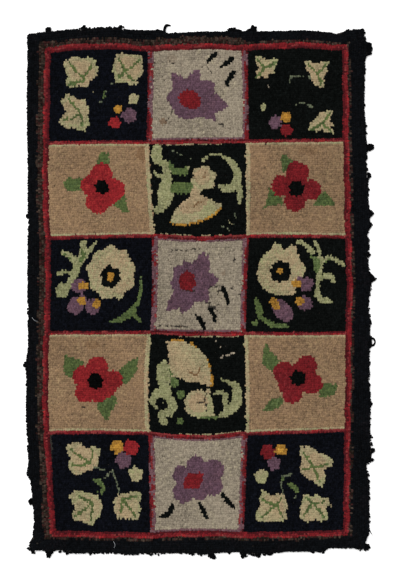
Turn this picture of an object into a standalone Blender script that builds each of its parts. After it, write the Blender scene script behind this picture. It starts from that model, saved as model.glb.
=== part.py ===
"""A hooked rug: burlap foundation and wool loops as one flat, lumpy slab with ragged locks at its rim.

The rug lies on the XY plane, its length along Y and its pile up. All sizes are in metres.
"""

import math
import random

import bmesh
import bpy
from mathutils import Vector, noise

# The slab
PILE_HEIGHT = 0.010
RIM_HEIGHT = 0.0068
SHOULDER = 0.005
CORNER_RADIUS = 0.010
HALF_WIDTH = 0.436
HALF_LENGTH = 0.664

# The pile's lumps
LUMP_HEIGHT = 0.0011
LUMP_LENGTH = 0.055
LUMP_SEED_PLANE = 3.7

# The grid that the slab is made on, and the locks along each of its rim cells
CELLS_ACROSS = 20
CELLS_ALONG = 30
LOCKS_PER_CELL = 3
STEPS_PER_CELL = 2 * LOCKS_PER_CELL
STEPS_ACROSS = CELLS_ACROSS * STEPS_PER_CELL
STEPS_ALONG = CELLS_ALONG * STEPS_PER_CELL

# Locks of loops at the rim. The outline below is where their tips lie on average.
LOCK_REACH = (0.0012, 0.0048)
LOCK_TAPER = (0.45, 0.75)
LOCK_DROP = (0.45, 0.85)
LOCK_LEAN = 0.0015
LOCK_SEED = 41
MEAN_REACH = sum(LOCK_REACH) / 2

# Pulled strips that stick out past the rim
STRAY_TIP_WIDTH = 0.35
STRAY_TIP_HEIGHT = 0.45
STRAY_BEND_AT = 0.6

# The rug's uneven sides, each from one corner to the next. The columns are the place along the
# side from the rug's middle, and the distance out from the middle.
LEFT_SIDE = (
    (-0.646, 0.436), (-0.621, 0.423), (-0.570, 0.421), (-0.486, 0.428), (-0.465, 0.439),
    (-0.437, 0.435), (-0.353, 0.441), (-0.236, 0.440), (-0.193, 0.442), (-0.136, 0.435),
    (-0.022, 0.437), (0.246, 0.436), (0.501, 0.438), (0.629, 0.437),
)
RIGHT_SIDE = (
    (-0.646, 0.423), (-0.608, 0.434), (-0.481, 0.435), (-0.448, 0.430), (-0.414, 0.444),
    (-0.328, 0.436), (-0.251, 0.440), (-0.162, 0.435), (-0.085, 0.439), (-0.034, 0.432),
    (0.011, 0.437), (0.075, 0.431), (0.103, 0.436), (0.144, 0.430), (0.198, 0.441),
    (0.300, 0.435), (0.386, 0.426), (0.493, 0.421), (0.585, 0.423), (0.629, 0.435),
)
TOP_SIDE = (
    (-0.428, 0.658), (-0.375, 0.663), (-0.316, 0.669), (-0.273, 0.673), (-0.207, 0.675),
    (-0.176, 0.667), (-0.099, 0.666), (-0.079, 0.658), (0.020, 0.662), (0.181, 0.663),
    (0.270, 0.665), (0.354, 0.658), (0.398, 0.672), (0.421, 0.652),
)
BOTTOM_SIDE = (
    (-0.411, 0.660), (-0.367, 0.663), (-0.309, 0.667), (-0.227, 0.666), (-0.176, 0.671),
    (0.003, 0.671), (0.092, 0.663), (0.150, 0.673), (0.232, 0.663), (0.311, 0.664),
    (0.334, 0.654), (0.390, 0.654), (0.418, 0.659),
)

# The columns are where the strip leaves the rim, how far it reaches out, and how far its end
# is bent towards +X and +Y.
STRAYS = (
    ((-0.385, 0.663), 0.009, (0.000, 0.000)),
    ((-0.291, 0.669), 0.006, (0.001, 0.000)),
    ((-0.087, 0.660), 0.026, (0.011, -0.003)),
    ((0.079, 0.660), 0.010, (0.002, 0.000)),
    ((0.140, 0.660), 0.014, (-0.002, 0.000)),
    ((0.426, 0.363), 0.016, (0.001, 0.005)),
    ((0.435, 0.300), 0.006, (0.000, 0.000)),
    ((0.436, 0.033), 0.015, (0.000, 0.002)),
    ((0.437, -0.129), 0.012, (0.000, -0.001)),
    ((0.440, -0.427), 0.006, (0.000, 0.001)),
    ((0.434, -0.618), 0.009, (0.000, -0.003)),
    ((0.115, -0.664), 0.012, (0.002, 0.000)),
    ((0.036, -0.668), 0.012, (-0.001, 0.000)),
    ((-0.275, -0.664), 0.007, (0.001, 0.000)),
    ((-0.385, -0.661), 0.014, (-0.003, 0.000)),
)

WOOL_COLOUR = (0.030, 0.024, 0.022, 1.0)
WOOL_ROUGHNESS = 0.95


def clear_scene():
    """Start from nothing."""
    for found in list(bpy.data.objects):
        bpy.data.objects.remove(found)


def out_at(side, along):
    """How far out a side lies, eased from one row of its table to the next."""
    if along <= side[0][0]:
        return side[0][1]
    for (start, out), (end, next_out) in zip(side, side[1:]):
        if along <= end:
            part = (along - start) / (end - start)
            eased = (1 - math.cos(math.pi * part)) / 2
            return out + (next_out - out) * eased
    return side[-1][1]


def round_off(x, y, corner_x, corner_y):
    """Move a point that lies in a corner's square onto the corner's arc."""
    centre = Vector((
        corner_x - math.copysign(CORNER_RADIUS, corner_x),
        corner_y - math.copysign(CORNER_RADIUS, corner_y),
    ))
    past = Vector((x, y)) - centre
    in_corner = past.x * corner_x > 0 and past.y * corner_y > 0
    if not in_corner or past.length <= CORNER_RADIUS:
        return x, y
    on_arc = centre + past.normalized() * CORNER_RADIUS
    return on_arc.x, on_arc.y


def place_on_rug(across, along, inset):
    """The place of a grid point, from its shares of the width and length, which run from 0 to 1."""
    nominal_x = (2 * across - 1) * HALF_WIDTH
    nominal_y = (2 * along - 1) * HALF_LENGTH
    trim = MEAN_REACH + inset

    def span_x(at_y):
        return trim - out_at(LEFT_SIDE, at_y), out_at(RIGHT_SIDE, at_y) - trim

    def span_y(at_x):
        return trim - out_at(BOTTOM_SIDE, at_x), out_at(TOP_SIDE, at_x) - trim

    left, right = span_x(nominal_y)
    bottom, top = span_y(nominal_x)
    x = left + (right - left) * across
    y = bottom + (top - bottom) * along
    end_x, end_y = math.copysign(HALF_WIDTH, nominal_x), math.copysign(HALF_LENGTH, nominal_y)
    corner_x = span_x(end_y)[end_x > 0]
    corner_y = span_y(end_x)[end_y > 0]
    return round_off(x, y, corner_x, corner_y)


def lump(x, y):
    """The pile's height above or below its mean at a place."""
    return LUMP_HEIGHT * noise.noise(Vector((x / LUMP_LENGTH, y / LUMP_LENGTH, LUMP_SEED_PLANE)))


def slab_on_grid(bm):
    """A closed slab in grid steps: level 0 is the underside, 1 the rim's top and 2 the pile."""
    bmesh.ops.create_grid(bm, x_segments=CELLS_ACROSS, y_segments=CELLS_ALONG, size=0.5)
    bmesh.ops.translate(bm, verts=bm.verts, vec=(0.5, 0.5, 0))
    bmesh.ops.scale(bm, verts=bm.verts, vec=(STEPS_ACROSS, STEPS_ALONG, 1))
    rim = [edge for edge in bm.edges if edge.is_boundary]
    bmesh.ops.subdivide_edges(bm, edges=rim, cuts=STEPS_PER_CELL - 1)
    upper = list(bm.faces)
    for _ in ("side", "shoulder"):
        grown = bmesh.ops.extrude_face_region(bm, geom=upper)["geom"]
        upper = [item for item in grown if isinstance(item, bmesh.types.BMFace)]
        raised = [item for item in grown if isinstance(item, bmesh.types.BMVert)]
        bmesh.ops.translate(bm, verts=raised, vec=(0, 0, 1))
    buried = [face for face in bm.faces if {round(v.co.z) for v in face.verts} == {1}]
    bmesh.ops.delete(bm, geom=buried, context="FACES")


def carries_lock(face):
    """Every second face of the slab's side carries a lock."""
    steps = [(round(v.co.x), round(v.co.y), round(v.co.z)) for v in face.verts]
    if {z for _, _, z in steps} != {0, 1}:
        return False
    across = sorted({x for x, _, _ in steps})
    along = sorted({y for _, y, _ in steps})
    return (across if len(across) > 1 else along)[0] % 2 == 0


def middle_of(face):
    return tuple(face.calc_center_median())


def lay_out(bm):
    """Move the slab's points from grid steps to their real places."""
    for vert in bm.verts:
        level = round(vert.co.z)
        inset = SHOULDER if level == 2 else 0.0
        x, y = place_on_rug(vert.co.x / STEPS_ACROSS, vert.co.y / STEPS_ALONG, inset)
        height = (0.0, RIM_HEIGHT, PILE_HEIGHT + lump(x, y))[level]
        vert.co = (x, y, height)


def grow_lock(bm, face, reach, lean, width, height):
    """Pull a side face out level, lean its tip, and narrow and lower it, flat along the floor."""
    out = Vector((face.normal.x, face.normal.y, 0)).normalized()
    tip = bmesh.ops.extrude_discrete_faces(bm, faces=[face])["faces"][0]
    middle = tip.calc_center_median()
    for vert in tip.verts:
        flat = Vector((vert.co.x - middle.x, vert.co.y - middle.y, 0))
        vert.co.x = middle.x + flat.x * width
        vert.co.y = middle.y + flat.y * width
        vert.co.z *= height
        vert.co += out * reach + Vector((lean[0], lean[1], 0))
    return tip


def add_locks(bm, faces):
    """A short lock on each face, and a long stray strip on the face nearest each stray's place."""
    rng = random.Random(LOCK_SEED)
    strays = {}
    for place, reach, bend in STRAYS:
        nearest = min(faces, key=lambda f: (f.calc_center_median().xy - Vector(place)).length)
        strays[nearest] = (reach, bend)
    for face in faces:
        along = Vector((-face.normal.y, face.normal.x))
        lean = along * rng.uniform(-LOCK_LEAN, LOCK_LEAN)
        reach = rng.uniform(*LOCK_REACH)
        width, height = rng.uniform(*LOCK_TAPER), rng.uniform(*LOCK_DROP)
        if face not in strays:
            grow_lock(bm, face, reach, lean, width, height)
            continue
        reach, bend = strays[face]
        straight = reach * STRAY_BEND_AT
        tip = grow_lock(bm, face, straight, (0, 0), STRAY_TIP_WIDTH, STRAY_TIP_HEIGHT)
        tip.normal_update()
        grow_lock(bm, tip, reach - straight, bend, 1.0, 1.0)


def centre_on_floor(mesh):
    """Move the mesh so that the middle of its outline lies over the origin."""
    xs = [v.co.x for v in mesh.vertices]
    ys = [v.co.y for v in mesh.vertices]
    shift = Vector((-(min(xs) + max(xs)) / 2, -(min(ys) + max(ys)) / 2, 0))
    for vert in mesh.vertices:
        vert.co += shift
    return shift


def wool_material():
    material = bpy.data.materials.new("wool")
    material.use_nodes = True
    shader = material.node_tree.nodes["Principled BSDF"]
    shader.inputs["Base Color"].default_value = WOOL_COLOUR
    shader.inputs["Roughness"].default_value = WOOL_ROUGHNESS
    shader.inputs["Metallic"].default_value = 0.0
    return material


def make_rug():
    """The whole rug, one closed solid."""
    bm = bmesh.new()
    slab_on_grid(bm)
    lock_faces = sorted((face for face in bm.faces if carries_lock(face)), key=middle_of)
    lay_out(bm)
    bmesh.ops.recalc_face_normals(bm, faces=bm.faces)
    add_locks(bm, lock_faces)
    bmesh.ops.recalc_face_normals(bm, faces=bm.faces)
    mesh = bpy.data.meshes.new("hooked_rug")
    bm.to_mesh(mesh)
    bm.free()
    shift = centre_on_floor(mesh)
    mesh.materials.append(wool_material())
    rug = bpy.data.objects.new("hooked_rug", mesh)
    bpy.context.scene.collection.objects.link(rug)
    mesh.calc_loop_triangles()
    print(f"locks {len(lock_faces)}, triangles {len(mesh.loop_triangles)}, shift {tuple(shift)}")
    return rug


clear_scene()
make_rug()
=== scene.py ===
# %% [markdown]
# # A hooked rug, loop by loop
# A hooked rug is made on a piece of burlap. The maker draws a plan on it and pulls strips of wool
# up through the holes, one small loop at a time, row after row. Each loop takes the colour that the
# plan has at its place, so every edge in the picture is a little ragged.
# This lesson makes the rug the same way: first the plan, then the rows of loops, then the wools.

# %% Load the frame
import math
from types import SimpleNamespace

import bmesh
import bpy
import numpy as np
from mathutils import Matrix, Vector, kdtree, noise


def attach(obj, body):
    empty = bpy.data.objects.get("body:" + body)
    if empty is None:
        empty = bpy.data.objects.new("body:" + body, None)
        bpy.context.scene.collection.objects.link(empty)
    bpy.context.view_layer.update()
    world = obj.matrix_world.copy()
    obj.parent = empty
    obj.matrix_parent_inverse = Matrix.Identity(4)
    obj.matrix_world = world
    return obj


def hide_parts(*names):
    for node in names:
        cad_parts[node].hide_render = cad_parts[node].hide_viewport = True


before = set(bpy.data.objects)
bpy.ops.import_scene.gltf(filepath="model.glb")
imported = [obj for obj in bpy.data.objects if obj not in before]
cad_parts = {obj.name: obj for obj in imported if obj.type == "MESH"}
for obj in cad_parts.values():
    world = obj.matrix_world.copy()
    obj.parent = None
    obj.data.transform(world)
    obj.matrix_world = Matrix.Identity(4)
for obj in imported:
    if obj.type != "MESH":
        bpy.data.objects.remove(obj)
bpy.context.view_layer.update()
rng = np.random.default_rng(1957)
MM = 0.001

# %% [markdown]
# ## The rug's uneven outline
# No side of a handmade rug is straight. Four short tables say how far out each side lies, and an
# eased step joins one row of a table to the next. Lengths in the plan are in millimetres, measured
# from the middle of the rug's blocks, which lies a little off the middle of its outline.

# %% Outline
PLAN_SHIFT = np.array((-2.5, -0.8))
LEFT_SIDE = (
    (-646, 436), (-621, 423), (-570, 421), (-486, 428), (-465, 439), (-437, 435), (-353, 441),
    (-236, 440), (-193, 442), (-136, 435), (-22, 437), (246, 436), (501, 438), (629, 437),
)
RIGHT_SIDE = (
    (-646, 423), (-608, 434), (-481, 434), (-448, 430), (-424, 441), (-396, 442), (-370, 436),
    (-328, 436), (-284, 438), (-251, 435), (-162, 434), (-85, 436), (-34, 432), (11, 437), (75, 431),
    (103, 434), (144, 430), (170, 434), (198, 435), (240, 431), (300, 432), (386, 426), (493, 421),
    (585, 423), (612, 433), (632, 433), (650, 421),
)
TOP_SIDE = (
    (-428, 658), (-375, 663), (-316, 669), (-273, 673), (-207, 675), (-176, 667), (-99, 666),
    (-79, 658), (20, 662), (181, 663), (270, 665), (330, 661), (358, 655), (384, 669), (412, 668),
    (424, 655),
)
BOTTOM_SIDE = (
    (-411, 660), (-367, 663), (-309, 667), (-227, 666), (-176, 671), (3, 671), (92, 663),
    (150, 673), (232, 663), (311, 664), (334, 654), (390, 654), (418, 659),
)


def put(name, data):
    """Adds an object to the scene."""
    thing = bpy.data.objects.new(name, data)
    bpy.context.scene.collection.objects.link(thing)
    return thing


def out_at(side, along):
    """How far out a side lies at places along it."""
    places, outs = np.array(side, float).T
    along = np.clip(along, places[0], places[-1])
    step = np.clip(np.searchsorted(places, along, side="right") - 1, 0, len(places) - 2)
    part = (along - places[step]) / (places[step + 1] - places[step])
    return outs[step] + (outs[step + 1] - outs[step]) * (1 - np.cos(np.pi * part)) / 2


# %% [markdown]
# ## The lines between the blocks
# The plan has three by five blocks. The lines between them wander, so each crossing has its own
# place, and a few stretches bow. Every row of loops below is set out from these lines.

# %% Lines
# Six level lines from the top, each with its crossings with the four upright lines, as (x, y).
CROSSINGS = np.array((
    ((-387, 617), (-124, 620), (118, 622), (373, 622)),
    ((-392, 377), (-128, 380), (121, 383), (376, 386)),
    ((-387, 136), (-114, 142), (122, 141), (381, 139)),
    ((-390, -106), (-119, -104), (114, -107), (382, -106)),
    ((-390, -360), (-123, -362), (118, -362), (379, -353)),
    ((-374, -618), (-119, -623), (108, -622), (376, -616)),
), float)
# How far each level line bows up in each of its three stretches.
LEVEL_BOWS = ((8, 5, 7), (2, 1, 0), (1, -6, 1), (0, -2, -1), (2, -10, -1), (-1, 4, -2))
# How far each upright line bows to the right in each of its five stretches.
UPRIGHT_BOWS = ((0, -3, 2, -3, 0), (0, -1, 2, -6, 0), (1, 0, -1, 3, 1), (1, 1, 4, 2, 1))
# How far a whole stretch of an upright line stands to the right of its crossings.
UPRIGHT_SHIFTS = ((0,) * 5, (0, 0, 0, -2.5, 0), (0, 2, 0, 2.5, 0), (0,) * 5)


def bowed(along, places, values, bows, shifts):
    """A line through its crossings, each stretch of it bowed and shifted by its own amounts."""
    if places[0] > places[-1]:
        places, values, bows, shifts = places[::-1], values[::-1], bows[::-1], shifts[::-1]
    line = np.interp(along, places, values)
    step = np.clip(np.searchsorted(places, along) - 1, 0, len(places) - 2)
    part = np.clip((along - places[step]) / (places[step + 1] - places[step]), 0, 1)
    return line + np.array(bows)[step] * np.sin(np.pi * part) + np.array(shifts)[step]


def level_line(number, x):
    crossings = CROSSINGS[number]
    return bowed(x, crossings[:, 0], crossings[:, 1], LEVEL_BOWS[number], (0, 0, 0))


def upright_line(number, y):
    crossings = CROSSINGS[:, number]
    return bowed(y, crossings[:, 1], crossings[:, 0], UPRIGHT_BOWS[number], UPRIGHT_SHIFTS[number])


# %% [markdown]
# ## Rows of loops
# The maker hooks the lines first and then fills the blocks in level rows that follow them. The
# border runs round the blocks in rows of its own, mitred at the corners. Each loop has a place, a
# heading along its row, and notes on which row it belongs to. A loop of a fill row that would sit
# on a loop of a line is left out, as there is no room for it in the burlap.

# %% Set out the rows
LOOP_PITCH = 4.15
ROW_PITCH = 5.15
FRAME_ROWS = (-2.9, 1.7, 6.7)  # rows of the red frame, counted inwards from its line
FRAME_DEPTH = 9.6
FRAME_WIGGLE = 0.9
SEAM_ROWS = (-2.1, 2.1)  # rows of a red seam, each side of its line
SEAM_DEPTH = 4.5
SEAM_WIDTHS = (1.0, 1.4, 0.85)  # how wide the seams are in each column, against a plain pair
BORDER_GAP = 5.6
RIM_INSET = 3.2
FILL_WANDER, FILL_RIPPLE = 0.3, 0.5
SEAM_WANDER, LINE_WANDER, BORDER_WANDER = 0.6, 0.4, 0.35
LOOP_JITTER = 0.42
INNER_LEFT, INNER_RIGHT = -372.0, 364.0
FRAME_ACROSS, FRAME_ALONG = (-395, 385), (-620, 622)
FILL, SEAM, FRAME, SIDE_LINE, BORDER = range(5)
rows_of_loops = []


def add_row(x, y, upright, kind, note=0, priority=False):
    """Adds loops to the list. The note says which row of its kind this one is."""
    rows_of_loops.append(np.stack([
        x, y, np.full(len(x), float(upright)), np.full(len(x), float(kind)),
        np.full(len(x), float(note)), np.full(len(x), float(priority)),
    ], 1))


def spread(start, end):
    """Places for loops from start to end, a pitch apart, with a hand's unevenness."""
    count = max(int((end - start) / LOOP_PITCH), 1)
    places = start + (np.arange(count) + rng.uniform(0, 1)) * (end - start) / count
    return places + rng.normal(0, 0.4, count)


def wander(x, seed, size):
    """A slow, repeatable wave."""
    return size * (np.sin(x / 41 + seed * 2.3) + 0.6 * np.sin(x / 17.3 + seed * 5.1))


for block_row in range(5):
    top_inset = FRAME_DEPTH if block_row == 0 else SEAM_DEPTH
    bottom_inset = FRAME_DEPTH if block_row == 4 else SEAM_DEPTH
    height = CROSSINGS[block_row, :, 1].mean() - CROSSINGS[block_row + 1, :, 1].mean()
    count = round((height - top_inset - bottom_inset) / ROW_PITCH)
    for number in range(count):
        x = spread(INNER_LEFT - 20, INNER_RIGHT + 20)
        top = level_line(block_row, x) - top_inset
        bottom = level_line(block_row + 1, x) + bottom_inset
        part = (number + 0.5) / count
        y = top + (bottom - top) * part + wander(x, number + 37 * block_row, FILL_WANDER)
        y = y + wander(x * 11, number, FILL_RIPPLE)
        middle = (top + bottom) / 2
        inside = (x > upright_line(0, middle) + FRAME_DEPTH - 1) & (
            x < upright_line(3, middle) - FRAME_DEPTH + 1
        )
        edge_row = 1 if number == 0 else 2 if number == count - 1 else 0
        add_row(x[inside], y[inside], False, FILL, edge_row)

for number in range(1, 5):
    for offset in SEAM_ROWS:
        x = spread(INNER_LEFT - 12, INNER_RIGHT + 12)
        inside = (x > upright_line(0, level_line(number, x)) + 4) & (
            x < upright_line(3, level_line(number, x)) - 4
        )
        x = x[inside]
        beside_tan = (offset > 0) == (number % 2 == 1)
        column = sum((x > upright_line(k, level_line(number, x))).astype(int) for k in (1, 2))
        y = level_line(number, x) - offset * np.array(SEAM_WIDTHS)[column]
        y = y + wander(x * 2.2, number, SEAM_WANDER)
        add_row(x, y, False, SEAM, int(beside_tan), True)

# An upright line's rows beside a grey block, and beside a black one, as offsets towards +X.
RED_AND_MAUVE = {1: (-2.8, 1.9, 6.6), 2: (2.8, -1.9, -6.6)}
CREAM_PAIR = {(1, 1): (-8.0, -3.2), (3, 1): (-8.0, -3.2), (1, 2): (-0.4, 4.3), (3, 2): (1.0, 4.6)}
CREAM_NOTE = 4
for number in (1, 2):
    for block_row in range(5):
        high = CROSSINGS[block_row, number, 1] - (FRAME_DEPTH if block_row == 0 else SEAM_DEPTH)
        low = CROSSINGS[block_row + 1, number, 1] + (FRAME_DEPTH if block_row == 4 else SEAM_DEPTH)
        grey = block_row % 2 == 0
        for place, offset in enumerate(RED_AND_MAUVE[number] if grey else CREAM_PAIR[block_row, number]):
            y = spread(low - 1, high + 1)
            x = upright_line(number, y) + offset + wander(y, number + place, LINE_WANDER)
            add_row(x, y, True, SIDE_LINE, (place + 1) if grey else CREAM_NOTE, True)

for place, offset in enumerate(FRAME_ROWS):
    for number, inwards in ((0, -1), (5, 1)):
        x = spread(*FRAME_ACROSS)
        y = level_line(number, x) + inwards * offset + wander(x * 2.2, number, FRAME_WIGGLE)
        inside = (x > upright_line(0, y) + offset - 1) & (x < upright_line(3, y) - offset + 1)
        add_row(x[inside], y[inside], False, FRAME, place, True)
    for number, inwards in ((0, 1), (3, -1)):
        y = spread(*FRAME_ALONG)
        x = upright_line(number, y) + inwards * offset + wander(y * 2.2, number + 3, FRAME_WIGGLE)
        inside = (y > level_line(5, x) + offset + 1) & (y < level_line(0, x) - offset - 1)
        add_row(x[inside], y[inside], True, FRAME, place, True)


def border_share(x, y):
    """How far out a place in the border lies on each side, from 0 at the frame to 1 at the rim."""
    shares = []
    for line, rim, place in (
        (-upright_line(0, y), out_at(LEFT_SIDE, y), -x),
        (upright_line(3, y), out_at(RIGHT_SIDE, y), x),
        (level_line(0, x), out_at(TOP_SIDE, x), y),
        (-level_line(5, x), out_at(BOTTOM_SIDE, x), -y),
    ):
        shares.append((place - line) / (rim - line))
    return np.array(shares)


BORDER_REACH = {True: 650, False: 425}
BORDER_SIDES = (
    # the side's number in border_share, its line, its table, which way is out, and if it's upright
    (0, 0, LEFT_SIDE, -1, True), (1, 3, RIGHT_SIDE, 1, True),
    (2, 0, TOP_SIDE, 1, False), (3, 5, BOTTOM_SIDE, -1, False),
)
for side, line, table, out, upright in BORDER_SIDES:
    reach = BORDER_REACH[upright]
    line_at = upright_line if upright else level_line
    widths = out_at(table, np.linspace(-reach, reach, 40)) - np.abs(
        line_at(line, np.linspace(-reach, reach, 40)))
    count = round((widths.mean() - BORDER_GAP + 2.4 - RIM_INSET) / ROW_PITCH)
    for number in range(count):
        along = spread(-reach - 25, reach + 25)
        inner = out * line_at(line, along) + BORDER_GAP
        outer = out_at(table, along) - RIM_INSET
        across = inner + (outer - inner) * number / (count - 1)
        across = out * (across + wander(along, number + 11 * side, BORDER_WANDER))
        x, y = (across, along) if upright else (along, across)
        shares = border_share(x, y)
        mine = shares.argmax(0) == side
        fits = shares.max(0) < 1 - 0.9 * RIM_INSET / widths.mean()
        add_row(x[mine & fits], y[mine & fits], upright, BORDER, number)

loops = np.concatenate(rows_of_loops)
loops[:, :2] += rng.normal(0, LOOP_JITTER, (len(loops), 2))
kinds, notes, first = loops[:, 3].astype(int), loops[:, 4].astype(int), loops[:, 5] > 0

CLEARANCE = 3.1
lines_tree = kdtree.KDTree(int(first.sum()))
for number, place in enumerate(loops[first, :2]):
    lines_tree.insert((place[0], place[1], 0), number)
lines_tree.balance()
free = np.array([
    priority or lines_tree.find((x, y, 0))[2] > CLEARANCE
    for (x, y), priority in zip(loops[:, :2], first)
])
loops, kinds, notes = loops[free], kinds[free], notes[free]
print("loops", len(loops))

# %% [markdown]
# ## The plan
# Each motif is a plain shape worked out from a few sizes: round petals laid over each other, a leaf
# or a star from the reach of its tips, a scroll from a curve with a width along it. A shape gives
# True for the loops that lie inside it, in millimetres from its block's middle.

# %% Blocks
WOOLS = (
    "border", "navy", "black", "tan", "grey", "cream", "bright_red", "brick", "crimson", "dark_red",
    "mauve", "purple", "green", "sage", "stem", "gold", "tweed",
)
wool = np.full(len(loops), WOOLS.index("border"))
stain = np.zeros(len(loops))
sunk = np.zeros(len(loops))
tone = np.zeros(len(loops))
tint = np.full(len(loops), np.nan)
PLAN_BLUR = 0.8  # how far the maker strays from the plan
plan_x = loops[:, 0] + rng.normal(0, PLAN_BLUR, len(loops))
plan_y = loops[:, 1] + rng.normal(0, PLAN_BLUR, len(loops))
column_of = sum((plan_x > upright_line(k, plan_y)).astype(int) for k in range(4)) - 1
row_of = sum((plan_y < level_line(k, plan_x)).astype(int) for k in range(6)) - 1


class Block:
    """The loops of one block, placed from its middle, and ways to give them a wool."""

    def __init__(self, row, column):
        corners = CROSSINGS[row:row + 2, column:column + 2].reshape(-1, 2)
        middle = corners.mean(0)
        self.loops = np.flatnonzero((kinds == FILL) & (row_of == row) & (column_of == column))
        self.x = plan_x[self.loops] - middle[0]
        self.y = plan_y[self.loops] - middle[1]
        self.note = notes[self.loops]

    def hook(self, name, *shapes):
        """Gives a wool to the loops in any of the shapes."""
        for shape in shapes:
            wool[self.loops[shape]] = WOOLS.index(name)

    def soil_and_shade(self, shape, depth):
        # Lays the stain colour on: real stains, and painted shade along the cracks.
        stain[self.loops] = np.maximum(stain[self.loops], shape * depth)

    def part(self, shape, depth=1.0):
        # Sinks loops; sunk loops are also painted darker, as painted shade.
        sunk[self.loops] = np.maximum(sunk[self.loops], shape * depth)

    def lighten(self, shape, amount):
        tone[self.loops[shape]] += amount

    def tint(self, shape, value):
        """Picks one shade of the wool: for cream, 0 is pinkish and 1 greenish."""
        tint[self.loops[shape]] = value

    def fleck(self, name, *shapes):
        """Thin marks, hooked a little lower than the rest, and so painted a little darker as shade."""
        self.hook(name, *shapes)
        self.part(np.any(shapes, axis=0), 0.3)


# %% Shapes
def disc(block, at, radius, squash=1.0, turn=0.0):
    """A round patch, squashed across its turned axis."""
    dx, dy = block.x - at[0], block.y - at[1]
    c, s = math.cos(math.radians(turn)), math.sin(math.radians(turn))
    return np.hypot(dx * c + dy * s, (dy * c - dx * s) / squash) < radius


def ruffled(block, at, radius, waves, depth, turn=0.0, squash=1.0):
    """A round patch whose edge waves in and out."""
    dx, dy = block.x - at[0], (block.y - at[1]) / squash
    angle = np.arctan2(dy, dx) - math.radians(turn)
    return np.hypot(dx, dy) < radius * (1 + depth * np.cos(waves * angle))


def petals(block, rounds):
    """Round patches laid over each other, each an (x, y, radius)."""
    return np.any([disc(block, (x, y), radius) for x, y, radius in rounds], axis=0)


CLOSE_TIPS = 60  # tips with a smaller angle than this between them have a shallower valley


def pointed(block, at, tips, valley=0.75, notches=(), sharp=0.85):
    """A star or leaf from its tips, each an (angle, reach), with valleys half-way between.
    A notch is an (angle, reach) as well, and takes the place of the valley it lies in."""
    dx, dy = block.x - at[0], block.y - at[1]
    tips = sorted(tips)
    spokes = []
    for (start, reach), (end, next_reach) in zip(tips, tips[1:] + [(tips[0][0] + 360, tips[0][1])]):
        dips = [((angle - start) % 360 + start, dip) for angle, dip in notches]
        dips = [(angle, dip) for angle, dip in dips if angle < end]
        shallow = 1 - (1 - valley) * min((end - start) / CLOSE_TIPS, 1)
        dips = dips or [((start + end) / 2, min(reach, next_reach) * shallow)]
        spokes += [(start, reach), dips[0]]
    spokes.append((tips[0][0] + 360, tips[0][1]))
    angles, reaches = np.array(spokes, float).T
    turned = (np.degrees(np.arctan2(dy, dx)) - angles[0]) % 360 + angles[0]
    step = np.clip(np.searchsorted(angles, turned, side="right") - 1, 0, len(angles) - 2)
    part = (turned - angles[step]) / (angles[step + 1] - angles[step])
    rising = step % 2 == 1
    from_tip = np.where(rising, 1 - part, part) ** sharp
    tip, dip = reaches[step + rising], reaches[step + 1 - rising]
    return np.hypot(dx, dy) < tip + (dip - tip) * from_tip


def smooth_path(points, steps=6):
    """A soft curve through a few points."""
    points = np.array(points, float)
    ends = np.vstack([2 * points[0] - points[1], points, 2 * points[-1] - points[-2]])
    path = []
    for a, b, c, d in zip(ends, ends[1:], ends[2:], ends[3:]):
        for part in np.arange(steps) / steps:
            path.append(0.5 * (2 * b + (c - a) * part + (2 * a - 5 * b + 4 * c - d) * part ** 2
                               + (3 * b - a - 3 * c + d) * part ** 3))
    return np.array(path + [points[-1]])


def stroke(block, points, *widths):
    """A curved band through points, with one or more widths spread evenly along it."""
    path = smooth_path(points)
    share = np.linspace(0, 1, len(path))
    widths = widths if len(widths) > 1 else widths * 2
    half = np.interp(share, np.linspace(0, 1, len(widths)), widths) / 2
    found = np.zeros(len(block.x), bool)
    for (ax, ay), (bx, by), wide in zip(path, path[1:], half):
        dx, dy = bx - ax, by - ay
        along = np.clip(((block.x - ax) * dx + (block.y - ay) * dy) / (dx * dx + dy * dy), 0, 1)
        found |= np.hypot(block.x - ax - along * dx, block.y - ay - along * dy) < wide
    return found


def patch(block, *corners):
    """The inside of a straight-sided shape."""
    found = np.zeros(len(block.x), bool)
    for (ax, ay), (bx, by) in zip(corners, corners[1:] + corners[:1]):
        crosses = (ay > block.y) != (by > block.y)
        found ^= crosses & (block.x < ax + (block.y - ay) * (bx - ax) / (by - ay or 1e-9))
    return found


# %% [markdown]
# ## The grounds and the lines
# Navy and black blocks carry leaves and pale flowers, tan ones red poppies and grey ones purple
# stars. A tan block is outlined in cream and a grey one in purple. The wool of a line changes where
# the maker took up the next strip.

# %% Grounds
GROUND_TONES = {
    (0, 1): -0.2, (2, 1): -0.6, (4, 1): -0.4, (1, 2): -0.8, (3, 2): -0.5, (1, 0): -0.1, (3, 0): -0.3,
}
GROUNDS = (
    ("navy", "grey", "black"), ("tan", "black", "tan"), ("navy", "grey", "black"),
    ("tan", "black", "tan"), ("navy", "grey", "navy"),
)
blocks = {(row, column): Block(row, column) for row in range(5) for column in range(3)}
for (row, column), block in blocks.items():
    ground = GROUNDS[row][column]
    everywhere = np.full(len(block.x), True)
    block.hook(ground, everywhere)
    block.lighten(everywhere, GROUND_TONES.get((row, column), 0.0))
    if ground == "tan":
        block.hook("cream", block.note > 0)
    elif ground == "grey":
        block.hook("mauve", (block.note == 2) | (block.note == 1) & (row > 0))
    elif column == 1:
        scallop = wander(block.x, row, 0.8) + wander(block.x * 7, 7 + row, 0.7)
        sliver = (block.note > 0) & (scallop > -0.1)
        block.hook("cream", sliver)
        block.part(sliver, 0.5)
        block.lighten(sliver, 0.7)
        fringe = wander(block.y * 5.5, row, 1.8) + rng.normal(0, 1.2, len(block.x))
        into_left = plan_x[block.loops] - upright_line(1, plan_y[block.loops])
        into_right = upright_line(2, plan_y[block.loops]) - plan_x[block.loops]
        left_edge, right_edge = (0.8, 2.0) if row == 1 else (-0.4, 0.6)
        block.hook("cream", (into_left < left_edge + fringe) | (into_right < right_edge + fringe))


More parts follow.
